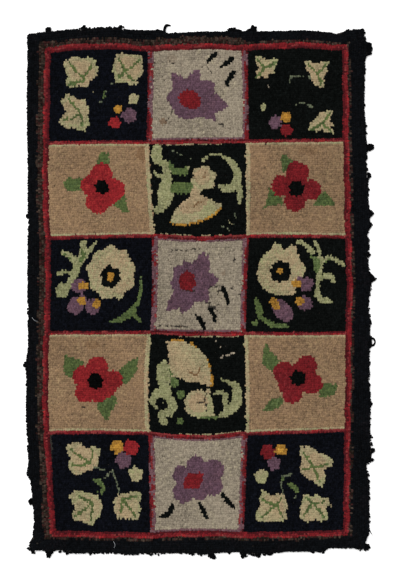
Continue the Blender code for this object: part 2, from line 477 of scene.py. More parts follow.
def strips(size, number, unevenness=0.4):
    """A slow wave along the rows that says where one strip of wool ends and another starts."""
    x, y = loops[:, 0], loops[:, 1]
    along = np.where(loops[:, 2] > 0, y + 2.3 * x, x + 2.3 * y)
    return wander(along * size, number, 1.0) + rng.normal(0, unevenness, len(loops))


def hook_line(kind, note, names, levels=(0.0,), size=2.1):
    """Hooks one row of a line in strips of a few wools."""
    wave = strips(size, note + 3 * kind)
    chosen = (kinds == kind) & (notes == note)
    for name, low in zip(names, (-9.0, *levels)):
        wool[chosen & (wave > low)] = WOOLS.index(name)


hook_line(SEAM, 0, ("crimson", "dark_red", "brick"), (-0.3, 1.1))
hook_line(SEAM, 1, ("brick", "crimson", "bright_red"), (0.3, 1.2))
hook_line(FRAME, 0, ("crimson", "brick", "bright_red"), (0.3, 1.1))
hook_line(FRAME, 1, ("crimson", "dark_red", "brick"), (0.5, 1.2))
hook_line(FRAME, 2, ("dark_red", "crimson"), (1.2,))
hook_line(SIDE_LINE, 1, ("dark_red", "crimson"), (0.3,))
hook_line(SIDE_LINE, 2, ("crimson", "brick", "mauve"), (0.1, 0.6), 1.4)
# The red beside the grey blocks is faded to mauve in places, most of all on the left.
left_line = loops[:, 0] < 0
faded_over = np.where(left_line & (row_of == 2), -0.2, np.where(left_line | (row_of == 0), 0.6, 1.3))
faded = (kinds == SIDE_LINE) & (notes < 3)
wool[faded & (strips(1.9, 5) > faded_over)] = WOOLS.index("mauve")
tone[faded & (left_line == (row_of == 2))] -= 0.5
tone[(kinds == SEAM) & (loops[:, 0] < -125) & (np.abs(loops[:, 1]) > 250)] += 1.0
hook_line(SIDE_LINE, 3, ("mauve", "brick", "grey"), (0.7, 1.4), 1.7)
hook_line(SIDE_LINE, CREAM_NOTE, ("cream",), ())

# The tweed line is widest in the middle of the top and thins out on the right.
shares = border_share(loops[:, 0], loops[:, 1])
side = shares.argmax(0)
TWEED_WIDTHS = (
    # for each side: places along it, and how far from the red frame the tweed reaches there
    ((-620, 620), (22.0, 20.5)), ((-620, 620), (11.0, 11.5)),
    ((-390, -150, 0, 100, 130, 370), (18.5, 20.5, 25.0, 22.0, 13.5, 11.0)),
    ((-390, 0, 200, 370), (11.5, 12.5, 12.5, 9.0)),
)
past_line = np.stack([
    upright_line(0, loops[:, 1]) - loops[:, 0],
    loops[:, 0] - upright_line(3, loops[:, 1]),
    loops[:, 1] - level_line(0, loops[:, 0]),
    level_line(5, loops[:, 0]) - loops[:, 1],
])
ragged = strips(2.6, 4, 0.6) * 1.5
for number, (places, widths) in enumerate(TWEED_WIDTHS):
    reach = np.interp(loops[:, 1 if number < 2 else 0], places, widths)
    near = past_line[number] < reach + ragged
    wool[(kinds == BORDER) & (side == number) & near] = WOOLS.index("tweed")

# %% [markdown]
# ## Leaves and berries
# A pale ivy leaf is worked out from the reach of its five or six tips. Its green veins run from a
# point near its foot, which always lies on the side of the block's middle, to some of the tips.
# Round berries, a small blossom and a sprig fill the rest of the block.

# %% Ivy leaves
VEIN_REACH = 0.72


def ivy_leaf(block, at, foot, tips, notches, veins, width=6.0, valley=0.86, sharp=0.85):
    """A cream leaf, with green veins from its foot to some of its tips, named by their numbers."""
    leaf = pointed(block, at, tips, valley, notches, sharp)
    block.hook("cream", leaf)
    block.tint(leaf, 0.75)
    block.tint(disc(block, at, np.mean([reach for angle, reach in tips]) * 0.7), 0.4)
    for number in veins:
        angle, reach = tips[number]
        reach *= VEIN_REACH
        end = (at[0] + reach * math.cos(math.radians(angle)),
               at[1] + reach * math.sin(math.radians(angle)))
        middle = ((foot[0] + end[0]) / 2 + 2, (foot[1] + end[1]) / 2 - 2)
        block.hook("green", stroke(block, (foot, middle, end), width, width * 0.9))


def berries(block, gold, red, purple, blossom):
    """Each berry is an (x, y, radius)."""
    block.hook("purple", ruffled(block, purple[:2], purple[2], 5, 0.08, 30))
    block.hook("bright_red", ruffled(block, red[:2], red[2], 6, 0.07, 10))
    block.hook("gold", ruffled(block, gold[:2], gold[2], 5, 0.08, 50))
    block.lighten(disc(block, red[:2], red[2] + 2), -0.6)
    block.lighten(disc(block, gold[:2], gold[2] * 0.5), 1.6)
    pale = ruffled(block, blossom[:2], blossom[2], 5, 0.09, 20)
    block.hook("cream", pale)
    block.tint(pale, 0.9)


block = blocks[0, 0]
ivy_leaf(block, (-42, 59), (-37, 46), ((142, 53), (123, 47), (41, 50), (17, 45), (-72, 39), (228, 52)),
         ((82, 38), (-46, 32), (186, 35)), (0, 2))
ivy_leaf(block, (77, 70), (66, 63),
         ((129, 49), (112, 44), (36, 47), (-20, 41), (-65, 46), (224, 47), (180, 42)),
         ((94, 34), (-95, 37)), (0, 2, 4, 5))
ivy_leaf(block, (-58, -42), (-43, -46),
         ((139, 49), (114, 52), (49, 42), (17, 37), (-40, 48), (-63, 54), (239, 48), (213, 50)),
         ((177, 19), (268, 39)), (1, 5, 7))
block.hook("green", stroke(block, ((-72, 30), (-54, 35), (-36, 37)), 9))
berries(block, (51, -34, 10), (42, -68, 15), (80, -50, 18.5), (91, -8, 13))
block.fleck("stem", stroke(block, ((36, 30), (26, 22), (22, 12)), 3.6),
            stroke(block, ((9, -15), (5, -20)), 3.0), stroke(block, ((-23, 25), (-18, 22)), 3.0))
block.hook("green", stroke(block, ((19, 9), (15, 0), (16, -6)), 6.0))
block.fleck("cream", stroke(block, ((-13, 11), (-12, 10)), 3.2))

block = blocks[4, 0]
ivy_leaf(block, (-42, 64), (-27, 52),
         ((144, 60), (123, 53), (48, 45), (32, 50), (-30, 41), (239, 46), (207, 46)),
         ((78, 28), (-80, 32), (174, 33)), (0, 2, 6))
ivy_leaf(block, (-34, -62), (-21, -46),
         ((144, 57), (125, 56), (44, 45), (13, 41), (-26, 40), (-72, 44), (212, 46)),
         ((172, 28), (93, 37), (250, 34)), (1, 5, 6))
ivy_leaf(block, (69, -56), (55, -38),
         ((152, 40), (121, 38), (49, 49), (38, 46), (-15, 36), (-50, 46), (230, 41), (200, 37)),
         ((15, 31), (-90, 30), (90, 31)), (2, 5, 6))
berries(block, (43, 95, 16.5), (79, 93, 20), (59, 61, 20), (91, 25, 18))
block.fleck("stem", stroke(block, ((-16, 44), (0, 38), (14, 33)), 4.0),
            stroke(block, ((30, 36), (20, 24), (10, 16)), 5.0),
            stroke(block, ((31, 34), (38, 14), (44, -4), (47, -22)), 4.6))
block.hook("green", stroke(block, ((-18, 10), (-4, 6), (4, -6), (4, -20)), 7, 13, 12, 11),
           stroke(block, ((-12, -22), (-6, -20)), 5))

block = blocks[4, 2]
ivy_leaf(block, (43, 40), (43, 43), ((118, 62), (100, 56), (12, 57), (-63, 58), (192, 33)),
         ((68, 41), (-14, 31), (-94, 29), (150, 28)), (0, 2, 3, 4))
ivy_leaf(block, (-61, -64), (-50, -55), ((134, 44), (120, 53), (43, 48), (17, 44), (-38, 49), (219, 51)),
         ((92, 32), (267, 31), (168, 28)), (0, 2, 4, 5))
ivy_leaf(block, (46, -67), (43, -50),
         ((121, 47), (77, 39), (34, 48), (17, 44), (-36, 47), (211, 43), (183, 35)),
         ((3, 29), (-75, 27), (148, 34)), (0, 2, 4, 5))
block.fleck("cream", stroke(block, ((84, -56), (102, -58)), 5, 3))
berries(block, (-36, 84, 14.5), (-70, 79, 18.5), (-54, 50, 17), (-86, 17, 17))
red = disc(block, (-70, 79), 20) & (wool[block.loops] == WOOLS.index("bright_red"))
block.hook("crimson", red)
block.fleck("stem", stroke(block, ((-2, 23), (-22, 20), (-32, 10)), 3.6),
            stroke(block, ((-36, 4), (-35, -12), (-31, -28)), 4.2),
            stroke(block, ((-44, 26), (-36, 18)), 3.6), stroke(block, ((-4, -40), (4, -30)), 4.0))
block.hook("green", stroke(block, ((-33, 13), (-30, 8)), 8),
           stroke(block, ((-13, -4), (-2, -10), (6, -20)), 10, 12, 9))

SMALL_LEAVES = (
    ((-82, 66), ((125, 40), (28, 49), (-21, 29), (-80, 29), (233, 40)),
     ((73, 22), (8, 28), (-50, 22), (178, 10)), (0, 1, 4)),
    ((52, 54), ((132, 48), (117, 38), (40, 46), (14, 33), (-65, 44)),
     ((92, 22), (-25, 20), (190, 15)), (0, 2, 4)),
    ((65, -74), ((211, 42), (49, 46), (-10, 32), (-41, 43)), ((131, 15), (20, 22), (-90, 15)), (0, 1, 3)),
)
block = blocks[0, 2]
for at, tips, notches, veins in SMALL_LEAVES:
    ivy_leaf(block, at, at, tips, notches, veins, 6.2, 0.6, 0.6)
berries(block, (-26, -60, 13.5), (-24, -92, 15), (-52, -72, 16), (-83, -33, 8))
block.hook("crimson", disc(block, (-24, -92), 17) & (wool[block.loops] == WOOLS.index("bright_red")))
block.fleck("stem", stroke(block, ((-15, 29), (-16, 39), (-9, 43), (9, 46), (20, 46)), 4.4),
            stroke(block, ((26, 43), (36, 42)), 4.2),
            stroke(block, ((3, -26), (20, -23), (31, -28), (42, -34)), 4.2))
block.fleck("grey", stroke(block, ((-72, 22), (-70, 20)), 4), stroke(block, ((-54, -5), (-52, -6)), 4))

# %% [markdown]
# ## Purple stars
# Two grey blocks hold a star with tips of uneven reach, and the third a rounder flower. Each has a
# red middle and three short black dashes beside it.

# %% Purple stars
block = blocks[0, 1]
STAR_TIPS = ((131, 80), (76, 71), (30, 65), (-16, 98), (-48, 86), (235, 65), (184, 66))
STAR_DIPS = ((112, 45), (62, 43), (7, 55), (-36, 74), (-71, 55), (209, 58), (160, 51))
block.hook("purple", pointed(block, (-14, -2), STAR_TIPS, 0.76, STAR_DIPS))
block.hook("crimson", disc(block, (-20, -12), 30, 0.74, -24))
block = blocks[2, 1]
STAR_TIPS = ((134, 66), (105, 64), (68, 92), (58, 90), (10, 74), (-42, 59), (-104, 74), (-133, 92),
             (172, 54))
block.hook("purple", pointed(block, (-22, -2), STAR_TIPS, 0.78, ((-14, 45), (38, 58))))
block.hook("crimson", disc(block, (-31, 8), 22, 1.15))
block.lighten(disc(block, (-30, 8), 24, 1.15) & ~disc(block, (-30, 8), 13, 1.1), -0.6)
block = blocks[4, 1]
block.hook("purple", petals(block, ((-4, 50, 24), (40, 36, 28), (38, -3, 26), (6, -14, 26),
                                    (-34, -18, 28), (-40, 24, 24), (0, 10, 36))))
block.hook("crimson", patch(block, (-37, -9), (-29, 26), (-9, 29), (12, 31), (15, 11), (1, -10)))
block.lighten(disc(block, (-10, 12), 30), 0.5)

DASHES = (
    (0, ((26, 87), (36, 97), (48, 108)), 13), (0, ((61, 71), (76, 82), (88, 93)), 13),
    (0, ((75, 26), (81, 42), (91, 58)), 13),
    (2, ((59, -8), (67, -24), (73, -48)), 11), (2, ((25, -57), (33, -73), (39, -92)), 11),
    (2, ((-6, -79), (4, -92), (12, -109)), 11.5),
    (4, ((-92, -81), (-74, -74), (-63, -54)), 13), (4, ((6, -48), (14, -66), (24, -84)), 13),
    (4, ((64, -25), (78, -42), (92, -57)), 13),
)
for row, path, width in DASHES:
    blocks[row, 1].hook("black", stroke(blocks[row, 1], path, width * 0.8, width, width * 0.8))

# %% [markdown]
# ## Poppies
# A poppy is a few round petals laid over each other round a black eye, with three leaves
# behind them. Two poppies are hooked in a duller red.

# %% Poppies
POPPIES = (
    ((1, 0), "bright_red", (9, 7, 18),
     ((6, 42, 27), (40, 1, 27), (-3, -29, 31), (-21, 12, 26), (22, -18, 25), (8, 6, 38)),
     (((6, 95), (24, 95), (29, 64), (6, 55), (-8, 67)),
      ((-90, 18), (-78, 30), (-42, 31), (-42, 2), (-62, -5), (-80, -3)),
      ((67, -10), (71, -34), (77, -59), (62, -56), (34, -36), (52, -22)))),
    ((1, 2), "crimson", (-2, 0, 20),
     ((0, 39, 30), (36, -3, 26), (-5, -31, 28), (-39, 7, 27)),
     (((-34, 92), (-22, 80), (-6, 68), (-24, 50), (-38, 40), (-41, 78)),
      ((-71, 8), (-58, -8), (-34, -30), (-38, -41), (-71, -43), (-94, -60), (-78, -36)),
      ((70, -4), (84, -18), (98, -42), (38, -45), (52, -26)))),
    ((3, 0), "bright_red", (-8, 3, 20),
     ((-3, 40, 28), (36, 7, 25), (20, -14, 24), (-33, -22, 28), (-40, 17, 26), (0, -24, 24), (-4, 6, 36)),
     (((-87, 71), (-62, 64), (-34, 52), (-50, 30), (-62, 14), (-81, 18), (-92, 38)),
      ((100, 67), (97, 32), (76, 0), (60, -2), (54, 34), (68, 48)),
      ((44, -30), (45, -56), (28, -80), (26, -99), (14, -93), (-4, -63), (2, -44)))),
    ((3, 2), "crimson", (4, 11, 19),
     ((26, 43, 26), (-31, 25, 28), (41, -3, 26), (-9, -28, 26), (4, 11, 37), (-26, -6, 22), (32, 20, 20)),
     (((-78, 103), (-66, 80), (-42, 56), (-56, 24), (-85, 45), (-87, 72)),
      ((52, -10), (66, -2), (100, -4), (108, -10), (94, -32), (60, -38)),
      ((-85, -70), (-64, -42), (-40, -38), (-30, -50), (-46, -67), (-70, -73)))),
)
POPPY_TONES = {(1, 0): 0.0, (1, 2): 1.0, (3, 0): -0.8, (3, 2): 0.5}
for key, red, eye, rounds, leaves in POPPIES:
    block = blocks[key]
    for leaf in leaves:
        block.hook("green", patch(block, *leaf))
        block.lighten(patch(block, *leaf), -0.3)
    flower = petals(block, rounds)
    block.hook(red, flower)
    mottle = wander(block.x * 1.9 + block.y, eye[0], 1.0) + wander(block.y * 2.9, eye[1], 0.8)
    block.lighten(flower, POPPY_TONES[key])
    block.lighten(flower & ((mottle > 0.8) | disc(block, eye[:2], eye[2] + 7)), -0.8)
    block.hook("black", ruffled(block, eye[:2], eye[2], 7, 0.09, 15))

# %% [markdown]
# ## Pale flowers with a dark eye
# Two ruffled cream flowers each have a black eye and a gold heart. Sage scrolls, three purple buds
# with gold tops and a long green leaf go round them.

# %% Pale flowers
block = blocks[2, 0]
block.hook("sage", stroke(block, ((-41, 108), (-44, 84), (-52, 60)), 15, 17, 17),
           stroke(block, ((-11, 108), (-28, 86), (-44, 62)), 8, 11, 12),
           stroke(block, ((-95, 82), (-78, 74), (-61, 58)), 14, 18),
           stroke(block, ((-52, 64), (-60, 44), (-64, 28), (-76, 10), (-81, -6)), 20, 18, 15, 11),
           stroke(block, ((-106, 28), (-86, 32), (-64, 28)), 8, 12),
           ruffled(block, (-95, -14), 18, 5, 0.08, 90))
block.hook("green", stroke(block, ((-45, 90), (-42, 72), (-50, 58)), 5, 12, 6),
           stroke(block, ((-90, 78), (-74, 68)), 4))
block.hook("cream", ruffled(block, (29, 30.5), 60, 9, 0.055, 12, 1.12),
           disc(block, (-28, 44), 9), disc(block, (27, 92), 9))
block.hook("black", ruffled(block, (27, 21), 26, 6, 0.08, 40, 1.06))
block.hook("gold", disc(block, (27, 21), 9.5, 1.2))
block.hook("purple", disc(block, (-52, -2), 22, 0.8), petals(block, ((-62, -54, 21), (-46, -38, 14))),
           disc(block, (-18, -56), 20, 0.95, 40))
block.hook("gold", disc(block, (-43, -2), 13, 0.75), disc(block, (-46, -42), 11, 1.05),
           disc(block, (-9, -48), 10.5))
block.hook("green", stroke(block, ((103, 19), (106, 2), (104, -17), (98, -40), (88, -58), (78, -72),
                                   (60, -84), (42, -92), (28, -93)), 4, 7, 10, 9, 14, 20, 16, 10, 4),
           stroke(block, ((82, -72), (94, -84), (104, -95)), 13, 5))

block = blocks[2, 2]
block.hook("sage", stroke(block, ((2, 110), (14, 108), (27, 95), (39, 82)), 8, 9, 14),
           stroke(block, ((46, 110), (56, 90), (59, 64), (57, 48)), 9, 13),
           stroke(block, ((58, 56), (56, 30), (54, 10), (53, -8), (51, -20), (62, -36), (82, -43)),
                  18, 14, 9, 9, 15, 16, 12),
           stroke(block, ((62, 58), (82, 69), (99, 64), (121, 49)), 13, 10, 8),
           stroke(block, ((60, 17), (80, 25), (94, 11)), 11, 16, 7))
block.hook("green", stroke(block, ((38, 71), (50, 60), (50, 36)), 10, 15, 12),
           stroke(block, ((62, 54), (82, 64)), 4))
block.hook("cream", disc(block, (-47, 33), 54, 1.1), disc(block, (0, 39), 21, 1.12),
           disc(block, (-26, -2), 26), petals(block, ((-14, 88, 14), (-52, 92, 14), (-8, 70, 14))))
block.hook("black", patch(block, (-42, 112), (-26, 112), (-30, 89), (-37, 89)),
           ruffled(block, (-42, 35), 26.5, 8, 0.09))
block.hook("gold", disc(block, (-42, 36), 8))
block.hook("purple", ruffled(block, (23, 1), 18, 9, 0.08), stroke(block, ((8, 14), (20, 2)), 14, 20),
           disc(block, (20, -47), 21, 0.85, -40),
           disc(block, (-38, -64), 35, 0.6, -48))
block.hook("gold", disc(block, (-1, 3), 15, 0.62, -28), disc(block, (7, -41), 12, 0.85, -30),
           disc(block, (-57, -48), 18, 0.55, -52))
block.hook("green", stroke(block, ((-104, -31), (-102, -43), (-96, -64), (-93, -82)), 4, 12, 19, 14),
           stroke(block, ((-88, -87), (-70, -97), (-51, -104), (-22, -106)), 9, 15, 12, 5),
           disc(block, (-108, -97), 7))

# %% [markdown]
# ## Lilies and scrolls
# The two black blocks in the middle hold a cream lily, which opens like a fan with a gold rim, a
# round cream blossom, and thick sage scrolls. The scrolls are plain curves with a swelling middle.

# %% Lilies and scrolls
block = blocks[1, 1]
block.hook("sage", stroke(block, ((-107, 100), (-107, 76)), 25, 25),
           stroke(block, ((-98, 68), (-84, 60), (-82, 28)), 16, 20, 20),
           stroke(block, ((-82, 30), (-84, -6), (-90, -34), (-108, -58)), 20, 40, 30, 8),
           stroke(block, ((-112, 42), (-102, 33), (-86, 30)), 8, 13))
block.hook("green", stroke(block, ((-74, 66), (-66, 49), (-48, 43), (-35, 44), (-29, 56)),
                           8, 15, 17, 14, 9),
           stroke(block, ((-60, 2), (-24, 4)), 27, 30))
block.hook("sage", stroke(block, ((10, 72), (20, 80)), 10, 6), disc(block, (-29, 56), 5),
           stroke(block, ((24, 86), (48, 89), (70, 79), (86, 64), (97, 40), (95, 16), (84, 4), (66, 1),
                          (54, 8)), 5, 6, 10, 17, 21, 23, 22, 18, 9),
           stroke(block, ((102, 4), (104, -18), (102, -38)), 13, 14, 8))
fan = disc(block, (-20, -66), 54, 0.4, 18) | patch(
    block, (-77, -84), (-50, -40), (-10, -10), (60, -40), (47, -58), (20, -77))
blossom = ruffled(block, (12, 27), 31, 6, 0.09, 75)
neck = stroke(block, ((-10, -14), (-6, 4)), 24, 16)
block.hook("cream", fan, blossom, neck)
block.tint(fan, 0.8)
block.tint(neck | disc(block, (-14, -38), 38, 0.6, 25), 0.1)
block.tint(blossom, 0.6)
block.tint(disc(block, (8, 30), 20), 0.15)
block.hook("gold", stroke(block, ((-74, -85), (-46, -92), (-20, -89), (10, -80), (34, -68), (48, -57),
                                  (54, -45)), 4, 6, 6, 5, 5, 5, 3))
block.fleck("stem", stroke(block, ((90, -65), (94, -74)), 3.6), stroke(block, ((90, -92), (93, -93)), 4.4),
            stroke(block, ((71, -100), (80, -110)), 3.6), stroke(block, ((60, -95), (62, -97)), 4),
            stroke(block, ((-66, 98), (-52, 90), (-42, 85)), 5, 4),
            stroke(block, ((-20, 76), (-19, 75)), 3.5))
block.fleck("cream", stroke(block, ((74, -81), (84, -89)), 4.4))
block.soil_and_shade(stroke(block, ((-26, -44), (-6, -42), (14, -32)), 10, 14, 8), 0.3)
block.soil_and_shade(stroke(block, ((-12, -44), (-4, -36), (6, -34)), 3.4), 1.0)
block.soil_and_shade(stroke(block, ((16, 42), (18, 34), (12, 30)), 4), 0.8)

block = blocks[3, 1]
block.hook("sage", disc(block, (-87, 22), 19, 1.85), stroke(block, ((-82, -8), (-76, -24)), 20, 14),
           stroke(block, ((-107, -64), (-115, -44), (-104, -25), (-84, -26), (-70, -44), (-64, -62),
                          (-74, -74), (-88, -80), (-90, -92), (-80, -102)),
                  8, 17, 22, 22, 22, 22, 22, 20, 24, 20, 8))
block.hook("green", patch(block, (-68, 16), (-43, 5), (-55, -9), (-71, -11)),
           stroke(block, ((-71, 42), (-68, 12)), 4.5), ruffled(block, (-43, -30), 11, 5, 0.15),
           ruffled(block, (-46, -97), 9, 5, 0.2))
# The fan is a quarter of a round, cut off along its left side and below.
fan = disc(block, (-60, 12), 97) & patch(block, (-82, 125), (-67, 15), (36, -9), (60, 125))
blossom = disc(block, (3, -52), 38, 0.95) & patch(block, (-50, 0), (29, -10), (44, -86), (-50, -95))
corner = patch(block, (4, -89), (42, -85), (34, -50), (2, -60))
block.hook("cream", fan, blossom, corner, disc(block, (27, -20), 7))
block.tint(fan, 0.45)
block.tint(blossom | corner, 0.75)
block.tint(disc(block, (2, -50), 25), 0.2)
block.hook("gold", stroke(block, ((-66, 110), (-38, 110)), 5), stroke(block, ((-17, 102), (-7, 94)), 7),
           stroke(block, ((24, 61), (29, 42)), 5), stroke(block, ((31, 34), (35, 18), (34, -6)), 6))
block.hook("green", stroke(block, ((10, -89), (39, -88), (52, -88)), 6, 4))
block.hook("sage", stroke(block, ((58, 8), (71, 6), (86, -1), (97, -10), (100, -28), (98, -48),
                                  (86, -63), (74, -76), (54, -85)), 6, 10, 14, 21, 24, 26, 26, 20, 9),
           stroke(block, ((41, -28), (54, -23), (68, -28)), 7, 14, 10),
           stroke(block, ((70, -34), (70, -50), (76, -64)), 15, 15, 12))
block.hook("black", stroke(block, ((86, -30), (83, -46)), 5), disc(block, (-92, -56), 11))
block.fleck("sage", stroke(block, ((-90, -50), (-86, -52)), 4))
block.fleck("grey", stroke(block, ((27, 99), (31, 100)), 4), stroke(block, ((42, 108), (44, 107)), 4),
            stroke(block, ((57, 94), (54, 84)), 4.6, 3), stroke(block, ((58, 66), (62, 68)), 5.5),
            stroke(block, ((72, 71), (84, 75), (95, 79)), 5.5, 3))
block.lighten((wool[block.loops] == WOOLS.index("grey")), 1.4)
block.soil_and_shade(stroke(block, ((-20, 28), (-8, 22), (2, 26), (4, 40)), 4.4), 1.0)
block.soil_and_shade(stroke(block, ((-10, 30), (-4, 24)), 4), 0.8)

# %% [markdown]
# ## Wear, and painted shade in the cracks
# An old rug has stains, and its pile parts in thin dark cracks where the burlap has bent. Along a
# crack the loops sink and show their feet, which the material darkens as painted shade. The sunk
# loops are also painted darker as shade, and the stain colour is laid over them as painted shade.

# %% Stains and cracks
STAINS = (
    ((3, 0), (-17, 97), 20, 0.5, 0.35), ((1, 0), (112, 92), 16, 1.2, 0.5),
    ((0, 1), (-87, -68), 9, 0.9, 0.7), ((0, 1), (-66, 92), 13, 0.8, 0.2),
    ((2, 1), (61, 29), 7, 1.0, 0.35), ((1, 2), (28, 96), 24, 0.5, 0.25),
)
for key, at, radius, squash, depth in STAINS:
    blocks[key].soil_and_shade(disc(blocks[key], at, radius, squash), depth)

CRACKS = (
    ((2, 1), ((-72, 80), (-66, 86), (-49, 88), (-43, 85), (-26, 88), (4, 93)), 3.4),
    ((2, 1), ((-77, 66), (-78, 62)), 3.0), ((2, 1), ((88, 69), (89, 56)), 2.8),
    ((2, 1), ((99, 31), (99, 20)), 3.2), ((2, 1), ((42, -20), (57, -18), (63, -22)), 3.0),
    ((2, 1), ((69, -14), (80, -11), (88, -5)), 3.0),
    ((2, 1), ((76, -11), (92, -16), (102, -20), (104, -30)), 3.4),
    ((2, 1), ((17, -47), (33, -45)), 4.0), ((2, 1), ((-41, -15), (-11, -18)), 3.0),
    ((2, 1), ((-104, -104), (-60, -108), (-26, -107)), 2.8), ((2, 1), ((-104, -83), (-102, -88)), 3.0),
    ((2, 1), ((19, -48), (30, -57), (42, -55), (54, -51)), 2.8), ((2, 1), ((56, -46), (58, -36)), 2.8),
    ((2, 1), ((23, -11), (36, -4), (48, -13), (47, -27)), 2.8), ((2, 1), ((34, -60), (50, -68)), 2.6),
    ((2, 1), ((36, -86), (44, -76)), 2.8), ((2, 1), ((104, 12), (107, 2)), 3.0),
    ((0, 1), ((24, 70), (32, 60), (38, 52)), 2.6),
    ((0, 1), ((-79, -67), (-70, -58)), 6.0), ((0, 1), ((-65, -28), (-64, -48)), 4.0),
    ((0, 1), ((-68, 82), (-57, 82)), 2.8), ((0, 1), ((-112, 80), (-102, 80)), 2.8),
    ((0, 1), ((8, 73), (19, 74)), 2.8), ((0, 1), ((51, -74), (63, -77), (76, -77)), 3.2),
    ((3, 1), ((16, -22), (18, -41), (18, -51), (24, -60), (20, -72)), 3.6),
    ((3, 1), ((-4, -48), (18, -51)), 3.0), ((3, 1), ((13, -40), (24, -30)), 3.0),
    ((3, 0), ((-44, -60), (-36, -62)), 3.4),
)
CRACK_SPREAD = 0.5  # what a crack opens past its drawn width
for key, path, width in CRACKS:
    crack = stroke(blocks[key], path, width + CRACK_SPREAD)
    blocks[key].part(crack)
    # Painted shade: the stain colour darkens the loops along the crack.
    blocks[key].soil_and_shade(crack, 0.8)

# %% [markdown]
# ## One loop
# Seen from above, a loop of wool strip is a small soft pad. It is made once, as two rings of points
# and a cap, and copied tens of thousands of times, so it has only a few faces. Its foot is wider
# than its pitch, so that neighbours press together and no gap shows between them.

# %% The loop's shape
PILE_TOP = 9.6
BED_TOP = 6.9
FOOT_LEVEL = 2.2  # how far a loop's foot lies below its top
LOOP_SIDES = 6
FOOT_WIDE, SHOULDER_WIDE = 0.9, 0.43  # half-widths, as shares of the pitch
SHOULDER_DROP = 0.4
SINK_DEPTH = 2.8
SEAM_LOOP_PITCH = 4.9
HEIGHT_SPREAD, TURN_SPREAD, SIZE_SPREAD, LEAN_SPREAD = 0.16, 0.35, 0.07, 0.35
LUMP_HEIGHT, LUMP_LENGTH = 1.1, 55.0
LUMP_SEED_PLANE = 3.7
RIPPLE_HEIGHT, RIPPLE_LENGTH, RIPPLE_WIDTH = 1.0, 13.0, 6.0
RIPPLE_SEED_PLANE = 9.1


def loop_shape():
    """One loop's points and faces: X along its row, Y across it, both in pitches."""
    bm = bmesh.new()
    bmesh.ops.create_circle(bm, segments=LOOP_SIDES, radius=FOOT_WIDE)
    grown = bmesh.ops.extrude_edge_only(bm, edges=bm.edges)["geom"]
    upper = [item for item in grown if isinstance(item, bmesh.types.BMVert)]
    share = SHOULDER_WIDE / FOOT_WIDE
    bmesh.ops.scale(bm, verts=upper, vec=(share, share, 1))
    bmesh.ops.translate(bm, verts=upper, vec=(0, 0, 1))
    rim = [edge for edge in bm.edges if all(vert.co.z > 0.5 for vert in edge.verts)]
    bmesh.ops.contextual_create(bm, geom=rim)
    bmesh.ops.recalc_face_normals(bm, faces=bm.faces)
    bm.verts.index_update()
    points = np.array([vert.co[:] for vert in bm.verts])
    faces = [[vert.index for vert in face.verts] for face in bm.faces]
    bm.free()
    if points[faces[-1], 2].min() < 0.5:
        raise ValueError("the last face of a loop should be its cap")
    return points, faces


def joined(name, points, faces, attributes):
    """One mesh of many like pieces: points is (copies, points, 3), in metres."""
    copies, size = points.shape[:2]
    counts = np.tile([len(face) for face in faces], copies)
    corners = np.concatenate([np.array(face) for face in faces])
    corners = (corners[None] + np.arange(copies)[:, None] * size).ravel()
    mesh = bpy.data.meshes.new(name)
    mesh.vertices.add(copies * size)
    mesh.vertices.foreach_set("co", points.astype(np.float32).ravel())
    mesh.loops.add(len(corners))
    mesh.loops.foreach_set("vertex_index", corners.astype(np.int32))
    mesh.polygons.add(len(counts))
    starts = np.concatenate([[0], np.cumsum(counts)[:-1]])
    mesh.polygons.foreach_set("loop_start", starts.astype(np.int32))
    mesh.update(calc_edges=True)
    mesh.shade_smooth()
    for key, values in attributes.items():
        layer = mesh.attributes.new(key, "FLOAT", "POINT")
        layer.data.foreach_set("value", np.repeat(values, size).astype(np.float32))
    low, high = points.reshape(-1, 3).min(0), points.reshape(-1, 3).max(0)
    side_length = max(high[0] - low[0], high[1] - low[1])
    flat = points.reshape(-1, 3)[corners, :2]
    mesh.uv_layers.new(name="OFBake").uv.foreach_set(
        "vector", ((flat - low[:2]) / side_length).astype(np.float32).ravel())
    mesh.validate()
    return put(name, mesh)


def dress(piece, material):
    """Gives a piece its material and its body."""
    piece.data.materials.clear()
    piece.data.materials.append(material)
    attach(piece, "root")


def lump(x, y):
    """The pile's height above or below its mean, the same as the solid's."""
    return np.array([
        LUMP_HEIGHT * noise.noise(Vector((a / LUMP_LENGTH, b / LUMP_LENGTH, LUMP_SEED_PLANE)))
        for a, b in zip(x, y)
    ])


def ripple(x, y):
    """Small rises and dips, a few loops long and one or two rows wide."""
    return np.array([
        noise.noise(Vector((a / RIPPLE_LENGTH, b / RIPPLE_WIDTH, RIPPLE_SEED_PLANE)))
        for a, b in zip(x, y)
    ])


loop_points, loop_faces = loop_shape()
upright = loops[:, 2] > 0
rise = ripple(np.where(upright, loops[:, 1], loops[:, 0]), np.where(upright, loops[:, 0], loops[:, 1]))
heights = PILE_TOP + lump(loops[:, 0], loops[:, 1]) + RIPPLE_HEIGHT * rise
heights += rng.normal(0, HEIGHT_SPREAD, len(loops)) - sunk * SINK_DEPTH
heading = np.where(upright, math.pi / 2, 0.0) + rng.normal(0, TURN_SPREAD, len(loops))
stretch = rng.normal(1.0, SIZE_SPREAD, (len(loops), 2))
lean = rng.normal(0, LEAN_SPREAD, (len(loops), 2))
across_pitch = np.where(kinds == SEAM, SEAM_LOOP_PITCH, ROW_PITCH)


